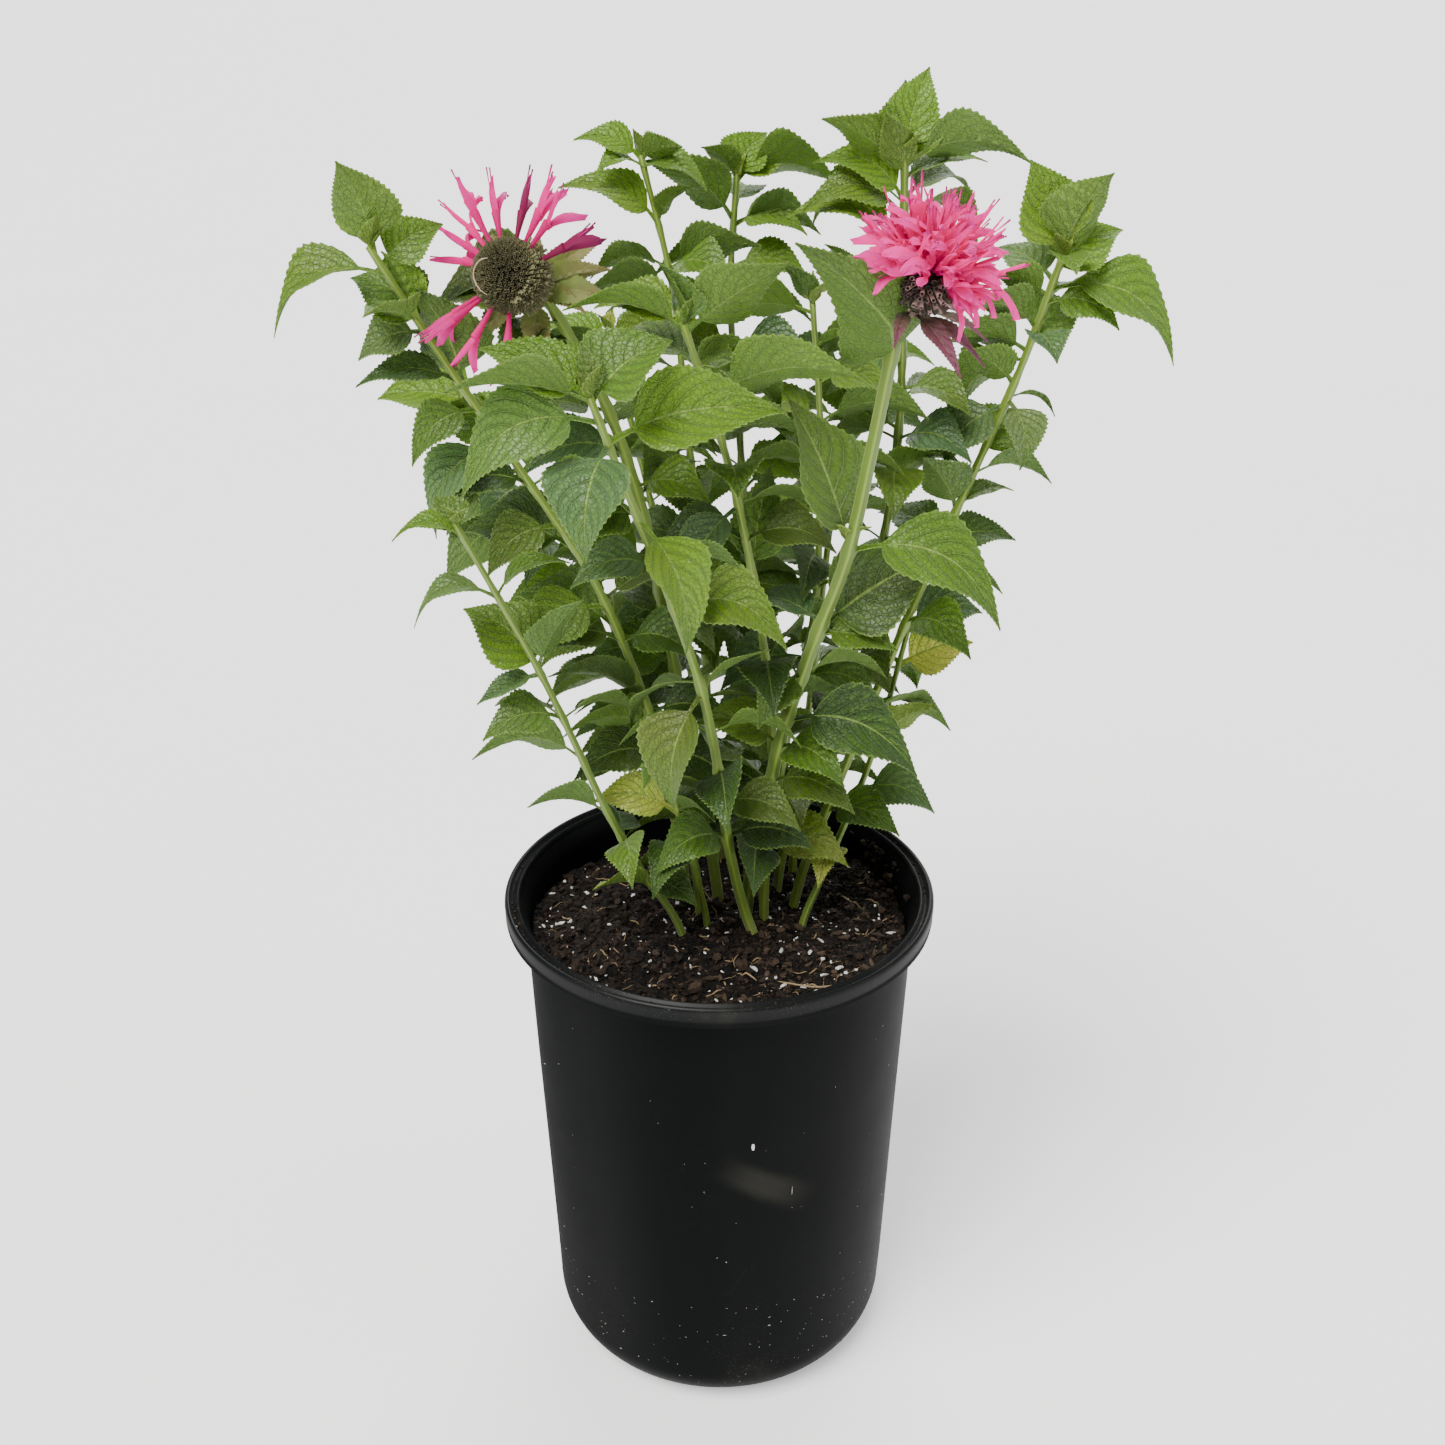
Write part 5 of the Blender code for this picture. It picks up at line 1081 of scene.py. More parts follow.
def leaf_tint(name, height, share, rng):
    """Brightness and age of a leaf: lighter near the tip and at the top of the plant, partly because
    young leaves are paler and partly as painted light from above; darker for the shaded leaves as
    painted shade; yellowing low down.
    """
    # the rise with share and height is partly painted light on the upper leaves; SHADED sets
    # brightnesses that are painted shade
    bright = 0.13 + 0.62 * share ** 4 + 0.0055 * max(0.0, height - 480.0) + rng.gauss(0.0, 0.2)
    bright = SHADED.get((name, height), min(1.0, max(0.0, bright)))
    age = YELLOWING.get((name, height), 0.0)
    if not age:
        age = min(0.6, max(0.0, rng.gauss(0.05, 0.2) if share < 0.35 else rng.gauss(0.02, 0.05)))
    return bright, age


def size_setting(label, about, value):
    """A length or share among the settings."""
    return FloatProperty(name=label, description=about, default=value)


def colour_setting(label, about, value):
    """A colour among the settings."""
    return FloatVectorProperty(name=label, description=about, subtype="COLOR", default=value)


def count_setting(label, about, value):
    """A number of things among the settings."""
    return IntProperty(name=label, description=about, default=value)


class Look(bpy.types.PropertyGroup):
    """The sizes and colours of the fine model."""
    leaf_thick: size_setting("Leaf thickness", "Thickness of a leaf, in mm", 0.35)
    vein_lean: size_setting("Vein lean", "How far veins run forward", 0.2)
    tooth: size_setting("Tooth size", "Size of the teeth on a leaf, in mm", 0.6)
    quilt: size_setting("Quilting", "Depth of the veins in a leaf, in mm", 0.42)
    # leaf_dark and leaf_light are mixed by each leaf's brightness, which is partly painted light and
    # painted shade
    leaf_dark: colour_setting("Dark leaf", "Green of an old shaded leaf", (0.013, 0.052, 0.001))
    leaf_light: colour_setting("Light leaf", "Green of a young leaf", (0.185, 0.375, 0.006))
    leaf_sheen: colour_setting("Leaf sheen", "Greyish green in patches", (0.10, 0.205, 0.085))
    leaf_lime: colour_setting("Lime", "Colour of light through a leaf", (0.38, 0.56, 0.003))
    leaf_yellow: colour_setting("Yellow leaf", "Colour of a yellowed leaf", (0.78, 0.76, 0.12))
    leaf_under: colour_setting("Leaf underside", "Back of a leaf", (0.11, 0.22, 0.012))
    leaf_vein: colour_setting("Leaf vein", "Veins and midrib", (0.32, 0.48, 0.085))
    stem_dark: colour_setting("Dark stem", "Darker green of the stems", (0.062, 0.12, 0.007))
    stem_light: colour_setting("Light stem", "Lighter green of the stems", (0.17, 0.275, 0.018))
    stem_ridge: colour_setting("Stem ridge", "Ridges of the stems", (0.28, 0.38, 0.035))
    stem_foot: colour_setting("Stem foot", "Brown at the foot of the stems", (0.16, 0.13, 0.06))
    petal_pink: colour_setting("Petal pink", "Main pink of the florets", (1.0, 0.003, 0.31))
    # deep pink of some florets, also used as painted shade at the florets' bases
    petal_deep_and_shade: colour_setting("Deep pink", "Pink in the throats", (0.62, 0.001, 0.13))
    petal_light: colour_setting("Light pink", "Pink of the lips", (1.0, 0.10, 0.60))
    petal_wilt: colour_setting("Wilted", "Dark wilted florets", (0.16, 0.02, 0.05))
    pot_black: colour_setting("Pot", "Black plastic of the pot", (0.0025, 0.0033, 0.0031))
    pot_sheen: colour_setting("Pot sheen", "Duller patches of the plastic", (0.005, 0.0058, 0.0053))
    # colour of the dust, and of the painted highlight by the dent and the painted sheen on the rim
    pot_dust_and_highlight: colour_setting("Dust", "Dust and scuffs on the pot", (0.075, 0.07, 0.058))
    # the darkest peat, also used as painted shade between the crumbs
    soil_dark_and_shade: colour_setting("Dark soil", "Dampest peat", (0.0016, 0.0012, 0.0008))
    soil_brown: colour_setting("Brown soil", "Peat", (0.014, 0.010, 0.006))
    soil_red: colour_setting("Red soil", "Bark and fibre", (0.094, 0.061, 0.040))
    crumbs: count_setting("Crumbs", "Number of soil crumbs", 6400)
    perlite: count_setting("Perlite", "Number of perlite grains", 330)
    round_steps: count_setting("Round steps", "Steps round the pot", 160)


def place_shoot(name, look, rng):
    """One shoot's leaves and stem, where the solids have them."""
    shoot = SHOOTS[name]
    samples = stem_samples(name)
    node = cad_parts[name]
    tree = BVHTree.FromPolygons([vertex.co for vertex in node.data.vertices],
                                [face.vertices for face in node.data.polygons])
    foot = samples[0].z
    tall = samples[-1].z - foot
    leaves = all_leaves(shoot)
    stems = new_shape()
    blades = new_shape()
    spine = shoot_stem(stems, samples, shoot["radius"], sorted({leaf[0] for leaf in leaves}), rng)
    for height, right, away, rise, bow, ratio, turn in leaves:
        root = node_point(samples, height)
        found = matched_leaf(tree, root, Vector((right, away, rise)), bow, ratio, turn)
        tint = leaf_tint(name, height, (height - foot) / tall, rng)
        if found is None:
            continue
        reach, bow = found
        form = LEAF_FORM
        if (name, height) == BROAD_LEAF:
            root, reach, form = root + BROAD_SHIFT, reach * BROAD_REACH, BROAD_FORM
        start = node_point(spine, height)
        fine_leaf(blades, root, reach, bow, ratio, turn, look, tint, rng, start, form)
    for height, bearing, rise, length, bow in BEHIND.get(name, ()):
        root = node_point(spine, height)
        tint = leaf_tint(name, height, (height - foot) / tall, rng)
        reach = length * pointing(math.radians(bearing), math.radians(rise))
        fine_leaf(blades, root, reach, bow, BEHIND_WIDTH, BEHIND_TURN, look, tint, rng)
    for height, right, away, rise, bow, ratio, turn in YOUNG.get(name, ()):
        root = node_point(spine, height)
        reach = Vector((right, away, rise))
        tint = (min(1.0, 0.85 + rng.gauss(0.0, 0.1)), YOUNG_AGE)
        fine_leaf(blades, root, reach, bow, ratio, turn, look, tint, rng)
    short = name.replace("shoot_", "")
    make_piece("leaves_" + short, blades, bpy.data.materials["leaf green"], [name], 1.0)
    make_piece("stem_" + short, stems, bpy.data.materials["stem green"], [name])


class BEEBALM_OT_shoots(bpy.types.Operator):
    """Makes every stem with its toothed leaves, veins and young tips"""
    bl_idname = "beebalm.shoots"
    bl_label = "Leafy stems"

    def execute(self, context):
        look = context.scene.bee_balm
        leaf_paint("leaf green", look)
        stem_paint("stem green", look)
        for index, name in enumerate(SHOOTS):
            place_shoot(name, look, random.Random(100 + index))
        return {"FINISHED"}


def head_place(centre, axis):
    """Where a head sits, in millimetres, and how it is turned."""
    turn = Vector(axis).normalized().to_track_quat("Z", "Y").to_matrix().to_4x4()
    return Matrix.Translation(Vector(centre)) @ turn


def in_metres(place, size=None):
    """A head's place, with a size along each axis, for shapes that are made in metres."""
    return Matrix.LocRotScale(place.translation * MM, place.to_quaternion(), size)


def core(shape, place, radius, squash):
    """The ball in the middle of a head, with its height as a share of its width."""
    bmesh.ops.create_icosphere(shape, subdivisions=3, radius=radius * MM,
                               matrix=in_metres(place, Vector((1.0, 1.0, squash))))


def sphere_points(count):
    """Points spread evenly over a ball of radius 1, from its top down."""
    golden = math.pi * (3.0 - math.sqrt(5.0))
    points = []
    for index in range(count):
        z = 1.0 - 2.0 * (index + 0.5) / count
        ring = math.sqrt(1.0 - z * z)
        points.append(Vector((ring * math.cos(golden * index), ring * math.sin(golden * index), z)))
    return points


def floret(shape, place, base, out, length, rng, wilt=0.0, wide=1.0, fat=1.0, stamens=True):
    """A two-lipped floret: a slim tube, a narrow hooded lip, a broad hanging lip and stamens."""
    level = UP.cross(out) if abs(out.z) < 0.98 else out.orthogonal()
    side = Matrix.Rotation(rng.gauss(0.0, 0.6), 3, out) @ level.normalized()
    top = out.cross(side).normalized()
    throat = rng.uniform(0.46, 0.56) * length
    sway = side * rng.gauss(0.0, 0.06) * length + top * rng.gauss(0.0, 0.06) * length
    vary = min(1.0, max(0.0, rng.gauss(0.6, 0.25)))

    def at(along, rise=0.0, across=0.0):
        share = along / length
        point = base + out * along + sway * share ** 2 + top * rise + side * across
        return place @ point

    spine = [at(throat * index / 4.0) for index in range(5)]
    radii = [fat * (0.5 + 0.85 * (index / 4.0) ** 1.5) for index in range(5)]
    # the tube darkens towards its base, deep among the other florets: painted shade
    tube(shape, spine, radii, 7, lambda share: (vary * (0.15 + 0.75 * share), wilt, 0.15 * share))
    hook = rng.uniform(-0.6, 2.0)
    lean = rng.uniform(0.1, 0.36)

    def upper(column, row):
        share = row / 5.0
        along = throat * 0.86 + (length - throat * 0.86) * share
        rise = 0.6 + lean * (along - throat) - hook * 2.4 * share ** 3 - abs(column - 1) * 0.4
        return at(along, rise, (column - 1) * HOOD_WIDTHS[row] * fat)

    strip(shape, 2, 5, 0.25, upper, lambda column, row: (vary, wilt, 0.25 + 0.1 * row),
          lambda column, row: (column / 2.0, row / 5.0))
    drop = rng.uniform(0.2, 1.5)
    lip = rng.uniform(0.38, 0.56) * length
    ruffle = rng.uniform(0.0, math.tau)

    def lower(column, row):
        share = row / 5.0
        across = (column - 2) / 2.0
        along = throat * 0.84 + lip * math.sin(1.3 * share) * (1.0 - 0.14 * abs(across))
        if row == 5 and column in (1, 3):
            along -= 0.12 * lip
        rise = -0.6 - drop * lip * 0.8 * share ** 1.7 - 0.6 * abs(across) * (1.0 - share)
        rise += 0.7 * share * (across ** 2 + 0.6 * math.sin(4.0 * across + ruffle))
        return at(along, rise, across * LIP_WIDTHS[row] * wide)

    strip(shape, 4, 5, 0.25, lower, lambda column, row: (vary, wilt, 0.3 + 0.13 * row),
          lambda column, row: (column / 4.0, row / 5.0))
    if stamens:
        for turn in (-0.5, 0.5):
            reach = length * rng.uniform(0.98, 1.12)
            points = [at(throat * 0.8 + (reach - throat * 0.8) * index / 4.0,
                         0.1 + lean * 0.8 * (reach - throat) * (index / 4.0) ** 1.3,
                         turn * (0.3 + index * 0.22)) for index in range(5)]
            tube(shape, points, [0.16, 0.15, 0.14, 0.2, 0.3], 4,
                 lambda share: (vary, wilt * 0.5 + (0.6 if share > 0.9 else 0.0), 0.9))


def husk(shape, place, base, out, length, radius, rng, rim):
    """A hollow calyx tube with five teeth."""
    turn = out.to_track_quat("Z", "Y").to_matrix().to_4x4()
    middle = Matrix.Translation((base + out * 0.5 * length) * MM) @ turn
    local = in_metres(place)
    made = bmesh.ops.create_cone(shape, cap_ends=True, segments=5, radius1=0.7 * radius * MM,
                                 radius2=radius * MM, depth=length * MM, matrix=local @ middle)
    verts = made["verts"]
    axis = (place.to_3x3() @ out).normalized()
    tip = local @ ((base + out * length) * MM)
    top = min(faces_of(verts), key=lambda face: (face.calc_center_median() - tip).length)
    colours = shape.verts.layers.float_color["shade"]
    vary = rng.random()
    for vertex in verts:
        vertex[colours] = (vary, 0.0, 0.0, 1.0)
    for vertex in top.verts:
        vertex.co += axis * 0.45 * radius * MM * rng.uniform(0.6, 1.6)
        vertex[colours] = (vary, rim, 0.0, 1.0)
    bmesh.ops.inset_region(shape, faces=[top], thickness=0.42 * radius * MM,
                           depth=-0.8 * radius * MM)
    # the third channel marks the hollow mouth, which husk_paint paints near black as painted shade
    for vertex in top.verts:
        vertex[colours] = (vary, 0.0, 1.0, 1.0)


def head_neck(shape, place, below):
    """The short neck that joins a head to its bracts."""
    spine = [place @ Vector((0.0, 0.0, share * below)) for share in (-0.5, -0.7, -0.85, -0.99)]
    tube(shape, spine, [5.5, 5.2, 4.6, 4.2], 16, lambda share: (0.3, 0.0, 0.0))


def bracts(place, below, angles, length, look, rng, facing, slim):
    """The shape of pointed bracts, turned to face the front by an angle, and their small collar."""
    shape = new_shape()
    top = -below - FIT
    middle = top - 0.5 * COLLAR_HEIGHT
    spine = [place @ Vector((0.0, 0.0, top - COLLAR_HEIGHT * index / 3.0)) for index in range(4)]
    tube(shape, spine, [4.2, 4.4, 4.0, 3.2], 16, lambda share: (0.4, 0.0, 0.0))
    turn = place.to_3x3()
    for index, degrees in enumerate(angles):
        angle = math.radians(degrees)
        spread = Vector((math.cos(angle), math.sin(angle), -0.06 - 0.1 * (index % 2)))
        root = place @ (Vector((0.0, 0.0, middle)) + 2.0 * spread)
        tint = (rng.random(), 0.0)
        long = length * (1.0 if index < LONG_BRACTS else 0.7)
        fine_leaf(shape, root, turn @ (spread * long), 2.0, slim, facing, look, tint, rng)
    return shape


def face_angle(out):
    """A direction's angle round the bloom as the front sees it, or 0 for one that points forward."""
    rise = 0.43 * out.y + 0.9 * out.z
    if math.hypot(out.x, rise) < 0.3:
        return 0.0
    return math.degrees(math.atan2(rise, out.x)) % 360.0


def faded_side(out):
    """Whether a floret points to the lower part of the bloom's face, where the buds are shut."""
    return SHUT_SIDE[0] < face_angle(out) < SHUT_SIDE[1]


def bloom_florets(place, look, rng):
    """Rings of open florets, with short young ones between them."""
    turn = place.to_3x3()
    shape = new_shape()
    for ring, (count, tilt, length) in enumerate(BLOOM_RINGS):
        for index in range(count):
            angle = math.tau * (index + 0.5 * (ring % 2)) / count + rng.gauss(0.0, 0.06)
            polar = math.radians(tilt + rng.gauss(0.0, 5.0))
            out = pointing(angle, 0.5 * math.pi - polar)
            reach = 0.94 * length * rng.uniform(0.84, 1.12) - FLORET_ROOT
            if faded_side(turn @ out):
                continue
            if SHORT_SIDE[0] <= face_angle(turn @ out) < SHORT_SIDE[1]:
                reach *= SHORT_SHARE
            floret(shape, place, out * FLORET_ROOT + UP * 1.5, out, reach, rng,
                   wide=rng.uniform(0.55, 1.15), stamens=rng.random() < 0.6)
    for out in sphere_points(150):
        out = (out + Vector((rng.gauss(0.0, 0.1), rng.gauss(0.0, 0.1), 0.0))).normalized()
        if out.z > -0.1 and not faded_side(turn @ out):
            floret(shape, place, out * FLORET_ROOT + UP * 1.5, out, rng.uniform(9.0, 18.0), rng,
                   fat=1.15, stamens=False)
    paint = petal_paint("pink florets", look)
    make_piece("bloom_petals", shape, paint, ["bloom_florets"], 1.0)


def bloom_calyx(place, rng):
    """The green and brown tubes round the open head, longer where no floret is open."""
    turn = place.to_3x3()
    shape = new_shape()
    for out in sphere_points(320):
        shut = faded_side(turn @ out)
        if out.z > (0.75 if shut else 0.45):
            continue
        reach = 9.2 if out.z > -0.15 else 8.6
        if shut:
            reach += rng.uniform(0.4, 2.6)
        root = Vector((out.x, out.y, 0.86 * out.z)) * 5.0
        aim = Vector((out.x, out.y, 0.9 * out.z + 0.12)).normalized()
        husk(shape, place, root, aim, reach + rng.gauss(0.0, 0.4) - 4.0, 0.8, rng,
             0.9 if rng.random() < 0.28 else 0.1)
    core(shape, place, BLOOM_BALL, 0.92)
    head_neck(shape, place, BLOOM_BELOW)
    paint = husk_paint("calyx", ((0.03, 0.052, 0.02), (0.075, 0.04, 0.04)), (0.55, 0.38, 0.34))
    make_piece("bloom_husks", shape, paint, ["bloom_calyx"], 0.9)


class BEEBALM_OT_bloom(bpy.types.Operator):
    """Makes the open head: pink florets, the dark calyx zone and the mauve bracts"""
    bl_idname = "beebalm.bloom"
    bl_label = "Open flower head"

    def execute(self, context):
        look = context.scene.bee_balm
        rng = random.Random(7)
        place = head_place(BLOOM_CENTRE, BLOOM_AXIS)
        bloom_florets(place, look, rng)
        bloom_calyx(place, rng)
        shape = bracts(place, BLOOM_BELOW, BLOOM_BRACT_ANGLES, 1.35 * BRACT_LENGTH, look, rng, 20, 0.2)
        paint = bract_paint("bloom bracts", (0.11, 0.09, 0.045), (0.20, 0.05, 0.09),
                            (0.34, 0.21, 0.15))
        make_piece("bloom_leaflets", shape, paint, ["bloom_bracts"], 1.0)
        return {"FINISHED"}


def seed_cone(place, rng):
    """The dry tubes that cover the spent head, ragged on one side."""
    shape = new_shape()
    for out in sphere_points(1300):
        out = (out + Vector([rng.gauss(0.0, 0.022) for axis in range(3)])).normalized()
        if out.z < -0.9:
            continue
        long = SEED_RADIUS - 9.4 + rng.gauss(0.0, 0.25)
        if out.x > 0.5 and out.z < 0.4:
            long += rng.uniform(0.2, 2.8)
        rim = 0.3 + 0.35 * max(0.0, out.x)
        husk(shape, place, out * HUSK_ROOT, out, long, 0.55, rng, rim)
    core(shape, place, SEED_RADIUS - 1.95, 1.0)
    head_neck(shape, place, SEED_BELOW)
    paint = husk_paint("seed head", ((0.055, 0.052, 0.024), (0.165, 0.155, 0.07)), (0.27, 0.26, 0.13))
    make_piece("seed_husks", shape, paint, ["seed_head"], 0.9)


def seed_florets(place, rng):
    """The last florets, in a ring round the spent head."""
    shape = new_shape()
    for index, degrees in enumerate(SEED_FLORET_ANGLES):
        polar = math.radians(86.0 + 12.0 * math.sin(5.0 * index))
        out = pointing(math.radians(degrees), 0.5 * math.pi - polar)
        wilt = 0.85 if degrees in WILTED_ANGLES else rng.uniform(0.0, 0.15)
        floret(shape, place, out * 0.85 * SEED_RADIUS, out, SEED_FLORET_LENGTH, rng, wilt, 1.0, 1.25)
    make_piece("seed_petals", shape, bpy.data.materials["pink florets"], ["seed_head"],
               1.0)


def filament():
    """A dry thread that lies across the spent head."""
    shape = new_shape()
    arc = [Vector(SEED_CENTRE) + Vector(out).normalized() * SEED_RADIUS for out in FILAMENT]
    tube(shape, arc, FILAMENT_RADII, 5, lambda share: (0.9, 1.0, 0.0))
    paint = husk_paint("dry filament", ((0.40, 0.30, 0.18), (0.55, 0.45, 0.30)), (0.50, 0.38, 0.25))
    make_piece("seed_filament", shape, paint, [])


class BEEBALM_OT_seed_head(bpy.types.Operator):
    """Makes the spent head: a cone of dry tubes, the last florets and the olive bracts"""
    bl_idname = "beebalm.seed_head"
    bl_label = "Spent flower head"

    def execute(self, context):
        look = context.scene.bee_balm
        rng = random.Random(11)
        place = head_place(SEED_CENTRE, SEED_AXIS)
        seed_cone(place, rng)
        seed_florets(place, rng)
        filament()
        shape = bracts(place, SEED_BELOW, SEED_BRACT_ANGLES, 1.3 * BRACT_LENGTH, look, rng, 60, 0.3)
        paint = bract_paint("seed bracts", (0.28, 0.39, 0.08), (0.30, 0.27, 0.08),
                            (0.40, 0.42, 0.18))
        make_piece("seed_leaflets", shape, paint, ["seed_head_bracts"], 1.0)
        return {"FINISHED"}


def round_point(radius, angle, height):
    """A point at a distance and an angle round the pot's axis."""
    return Vector((radius * math.cos(angle), radius * math.sin(angle), height))


def wall_radius(height):
    """Outer radius of the pot's tapering wall at a height."""
    share = (height - CORNER) / (POT_HEIGHT - RIM_DEPTH - CORNER)
    return FOOT_RADIUS + (NECK_RADIUS - FOOT_RADIUS) * share


def corner_arc(radius, height, bend, steps):
    """Points round the pot's bottom corner, from the wall down to the floor."""
    points = []
    for step in range(steps + 1):
        angle = math.radians(90.0 * step / steps)
        points.append((radius - bend + bend * math.cos(angle), height + bend - bend * math.sin(angle)))
    return points


def spun(profile, steps):
    """A profile of (radius, height) points in millimetres, spun round the Z axis."""
    shape = new_shape()
    points = [shape.verts.new((radius * MM, 0.0, height * MM)) for radius, height in profile]
    edges = [shape.edges.new(pair) for pair in zip(points, points[1:])]
    bmesh.ops.spin(shape, geom=points + edges, cent=(0.0, 0.0, 0.0), axis=(0.0, 0.0, 1.0),
                   angle=math.tau, steps=steps, use_merge=True)
    bmesh.ops.remove_doubles(shape, verts=shape.verts, dist=0.005 * MM)
    bmesh.ops.recalc_face_normals(shape, faces=shape.faces)
    return shape


def pot_profile():
    """The pot's outline, from the floor's middle up inside, over the rim and down outside."""
    lip = POT_HEIGHT - RIM_DEPTH
    profile = [(0.0, FLOOR)] + corner_arc(FOOT_RADIUS - WALL, FLOOR, CORNER - FLOOR, 12)[::-1]
    profile += [(wall_radius(height) - WALL, height) for height in (60.0, 110.0, 160.0, 200.0)]
    for radius, height, steps in ((NECK_RADIUS - WALL, lip, WALL_TOP),
                                  (RIM_RADIUS - RIM_WIDTH, POT_HEIGHT, RIM_INSIDE),
                                  (RIM_RADIUS, POT_HEIGHT, RIM_TOP),
                                  (RIM_RADIUS, lip, RIM_EDGE),
                                  (NECK_RADIUS, lip, RIM_UNDER)):
        profile += [(radius + out, height + up) for out, up in steps]
    profile += [(wall_radius(height), height) for height in WALL_HEIGHTS]
    profile += corner_arc(FOOT_RADIUS, 0.0, CORNER, 14)[:-1]
    return profile + [(FOOT_RADIUS - CORNER, 0.0), (0.0, 0.0)]


def wall_push(point):
    """How far the wall is pushed inwards at a point, by a soft dent and its own waves."""
    push = 0.35 * noise.noise(Vector((point.x, point.y, 0.6 * point.z)) * 0.018)
    if point.y < 0.0:
        right = (point.x - DENT[0]) / 20.0
        up = (point.z - DENT[1]) / 9.0
        push += 1.2 * math.exp(-right ** 2 - up ** 2)
    return push


def wall_point(angle, height):
    """A point on the outside of the pot's wall or of its rounded bottom edge."""
    radius = wall_radius(height)
    if height < CORNER:
        radius = FOOT_RADIUS - CORNER + math.sqrt(CORNER ** 2 - (CORNER - height) ** 2)
    if height > PLAIN_FOOT:
        radius -= wall_push(round_point(radius, angle, height))
    return round_point(radius, angle, height)


def drill(pot, angle):
    """Cuts one round hole through the pot's floor."""
    cutter = bmesh.new()
    middle = round_point(DRAIN_CIRCLE, angle, 0.5 * FLOOR) * MM
    bmesh.ops.create_cone(cutter, cap_ends=True, segments=24, radius1=DRAIN_RADIUS * MM,
                          radius2=DRAIN_RADIUS * MM, depth=3.0 * FLOOR * MM,
                          matrix=Matrix.Translation(middle))
    drain = mesh_object("drain", cutter)
    hole = pot.modifiers.new("drain", "BOOLEAN")
    hole.operation = "DIFFERENCE"
    hole.object = drain
    hole.solver = "EXACT"
    bpy.ops.object.modifier_apply(modifier="drain")
    bpy.data.objects.remove(drain)


class BEEBALM_OT_pot(bpy.types.Operator):
    """Makes the round black pot with its rolled rim and drain holes"""
    bl_idname = "beebalm.pot"
    bl_label = "Nursery pot"

    def execute(self, context):
        look = context.scene.bee_balm
        shape = spun(pot_profile(), look.round_steps)
        for vertex in shape.verts:
            point = vertex.co / MM
            reach = math.hypot(point.x, point.y)
            if reach > 60.0 and PLAIN_FOOT < point.z < 205.0:
                push = wall_push(point)
                vertex.co.x -= push * MM * point.x / reach
                vertex.co.y -= push * MM * point.y / reach
        pot = make_piece("pot_shell", shape, pot_paint("black plastic", look), ["pot"], 0.7)
        bpy.context.view_layer.objects.active = pot
        for index in range(DRAIN_COUNT):
            drill(pot, math.tau * (index + 0.5) / DRAIN_COUNT)
        pot_marks(random.Random(5))
        return {"FINISHED"}


def pot_marks(rng):
    """A grain stuck to the pot's wall, a short nick, and pale flecks, most of them low down."""
    shape = new_shape()
    stuck = [Vector(point) for point in STUCK_GRAIN]
    tube(shape, stuck, [0.4, 0.75, 0.45], 8, lambda share: (0.95, 0.0, 0.0))
    nick = [Vector(point) for point in NICK]
    tube(shape, nick, [0.12, 0.22, 0.12], 5, lambda share: (0.12, 0.0, 0.0))
    for index in range(FLECKS):
        height = rng.uniform(9.0, 62.0) if rng.random() < 0.8 else rng.uniform(62.0, 200.0)
        place = wall_point(rng.uniform(0.0, math.tau), height)
        grain(shape, place, rng.uniform(0.12, 0.26), rng, (0.5 * rng.random() ** 2, 0.0, 0.0), 0.3,
              rng.uniform(1.0, 3.0))
    paint = crumb_paint("pale grain", (0.06, 0.055, 0.05), (0.9, 0.89, 0.86), 0.7)
    make_piece("pot_marks", shape, paint, [], 0.6)


def soil_height(x, y):
    """Height of the soil in millimetres: higher at the front, with clumps."""
    slope = -SOIL_FRONT_RISE * y - SOIL_RIGHT_FALL * x
    clumps = math.sin(0.21 * x + 1.3) * math.cos(0.18 * y - 0.4)
    clumps += 0.7 * math.sin(0.43 * x - 0.31 * y) + 0.5 * math.cos(0.37 * y + 0.55 * x + 2.0)
    return SOIL_LEVEL + slope + CLUMP * clumps


def soil_surface(x, y):
    """The soil's height with its small lumps and hollows."""
    spot = Vector((x, y, 0.0))
    lumps = 2.0 * noise.noise(spot * 0.14) + 1.4 * noise.noise(spot * 0.34)
    lumps += 0.6 * noise.noise(spot * 0.9) - 1.1 * noise.voronoi(spot * 0.3)[0][0] + 0.6
    heap = 8.0 * math.exp(-((x - HEAP[0]) / 20.0) ** 2 - ((y - HEAP[1]) / 24.0) ** 2)
    return soil_height(x, y) + lumps + heap


def on_soil(x, y, above):
    """A point at a height above the soil."""
    return Vector((x, y, soil_surface(x, y) + above))


def scatter(rng, reach):
    """A random place on the soil."""
    radius = reach * math.sqrt(rng.random())
    angle = rng.uniform(0.0, math.tau)
    return radius * math.cos(angle), radius * math.sin(angle)


def grain(shape, place, size, rng, tint, rough, long=1.0):
    """One lump: a ball with its corners moved about."""
    turn = Matrix.Rotation(rng.uniform(0.0, math.tau), 4, "Z")
    turn = turn @ Matrix.Rotation(rng.uniform(-0.6, 0.6), 4, "X")
    scale = Vector((long * rng.uniform(0.8, 1.3), rng.uniform(0.7, 1.1), rng.uniform(0.5, 0.9)))
    verts = bmesh.ops.create_icosphere(shape, subdivisions=1, radius=size * MM)["verts"]
    colours = shape.verts.layers.float_color["shade"]
    for vertex in verts:
        vertex.co *= 1.0 + rng.uniform(-rough, rough)
        spot = Vector(vertex.co[axis] * scale[axis] for axis in range(3))
        vertex.co = turn @ spot + place * MM
        vertex[colours] = (*tint, 1.0)


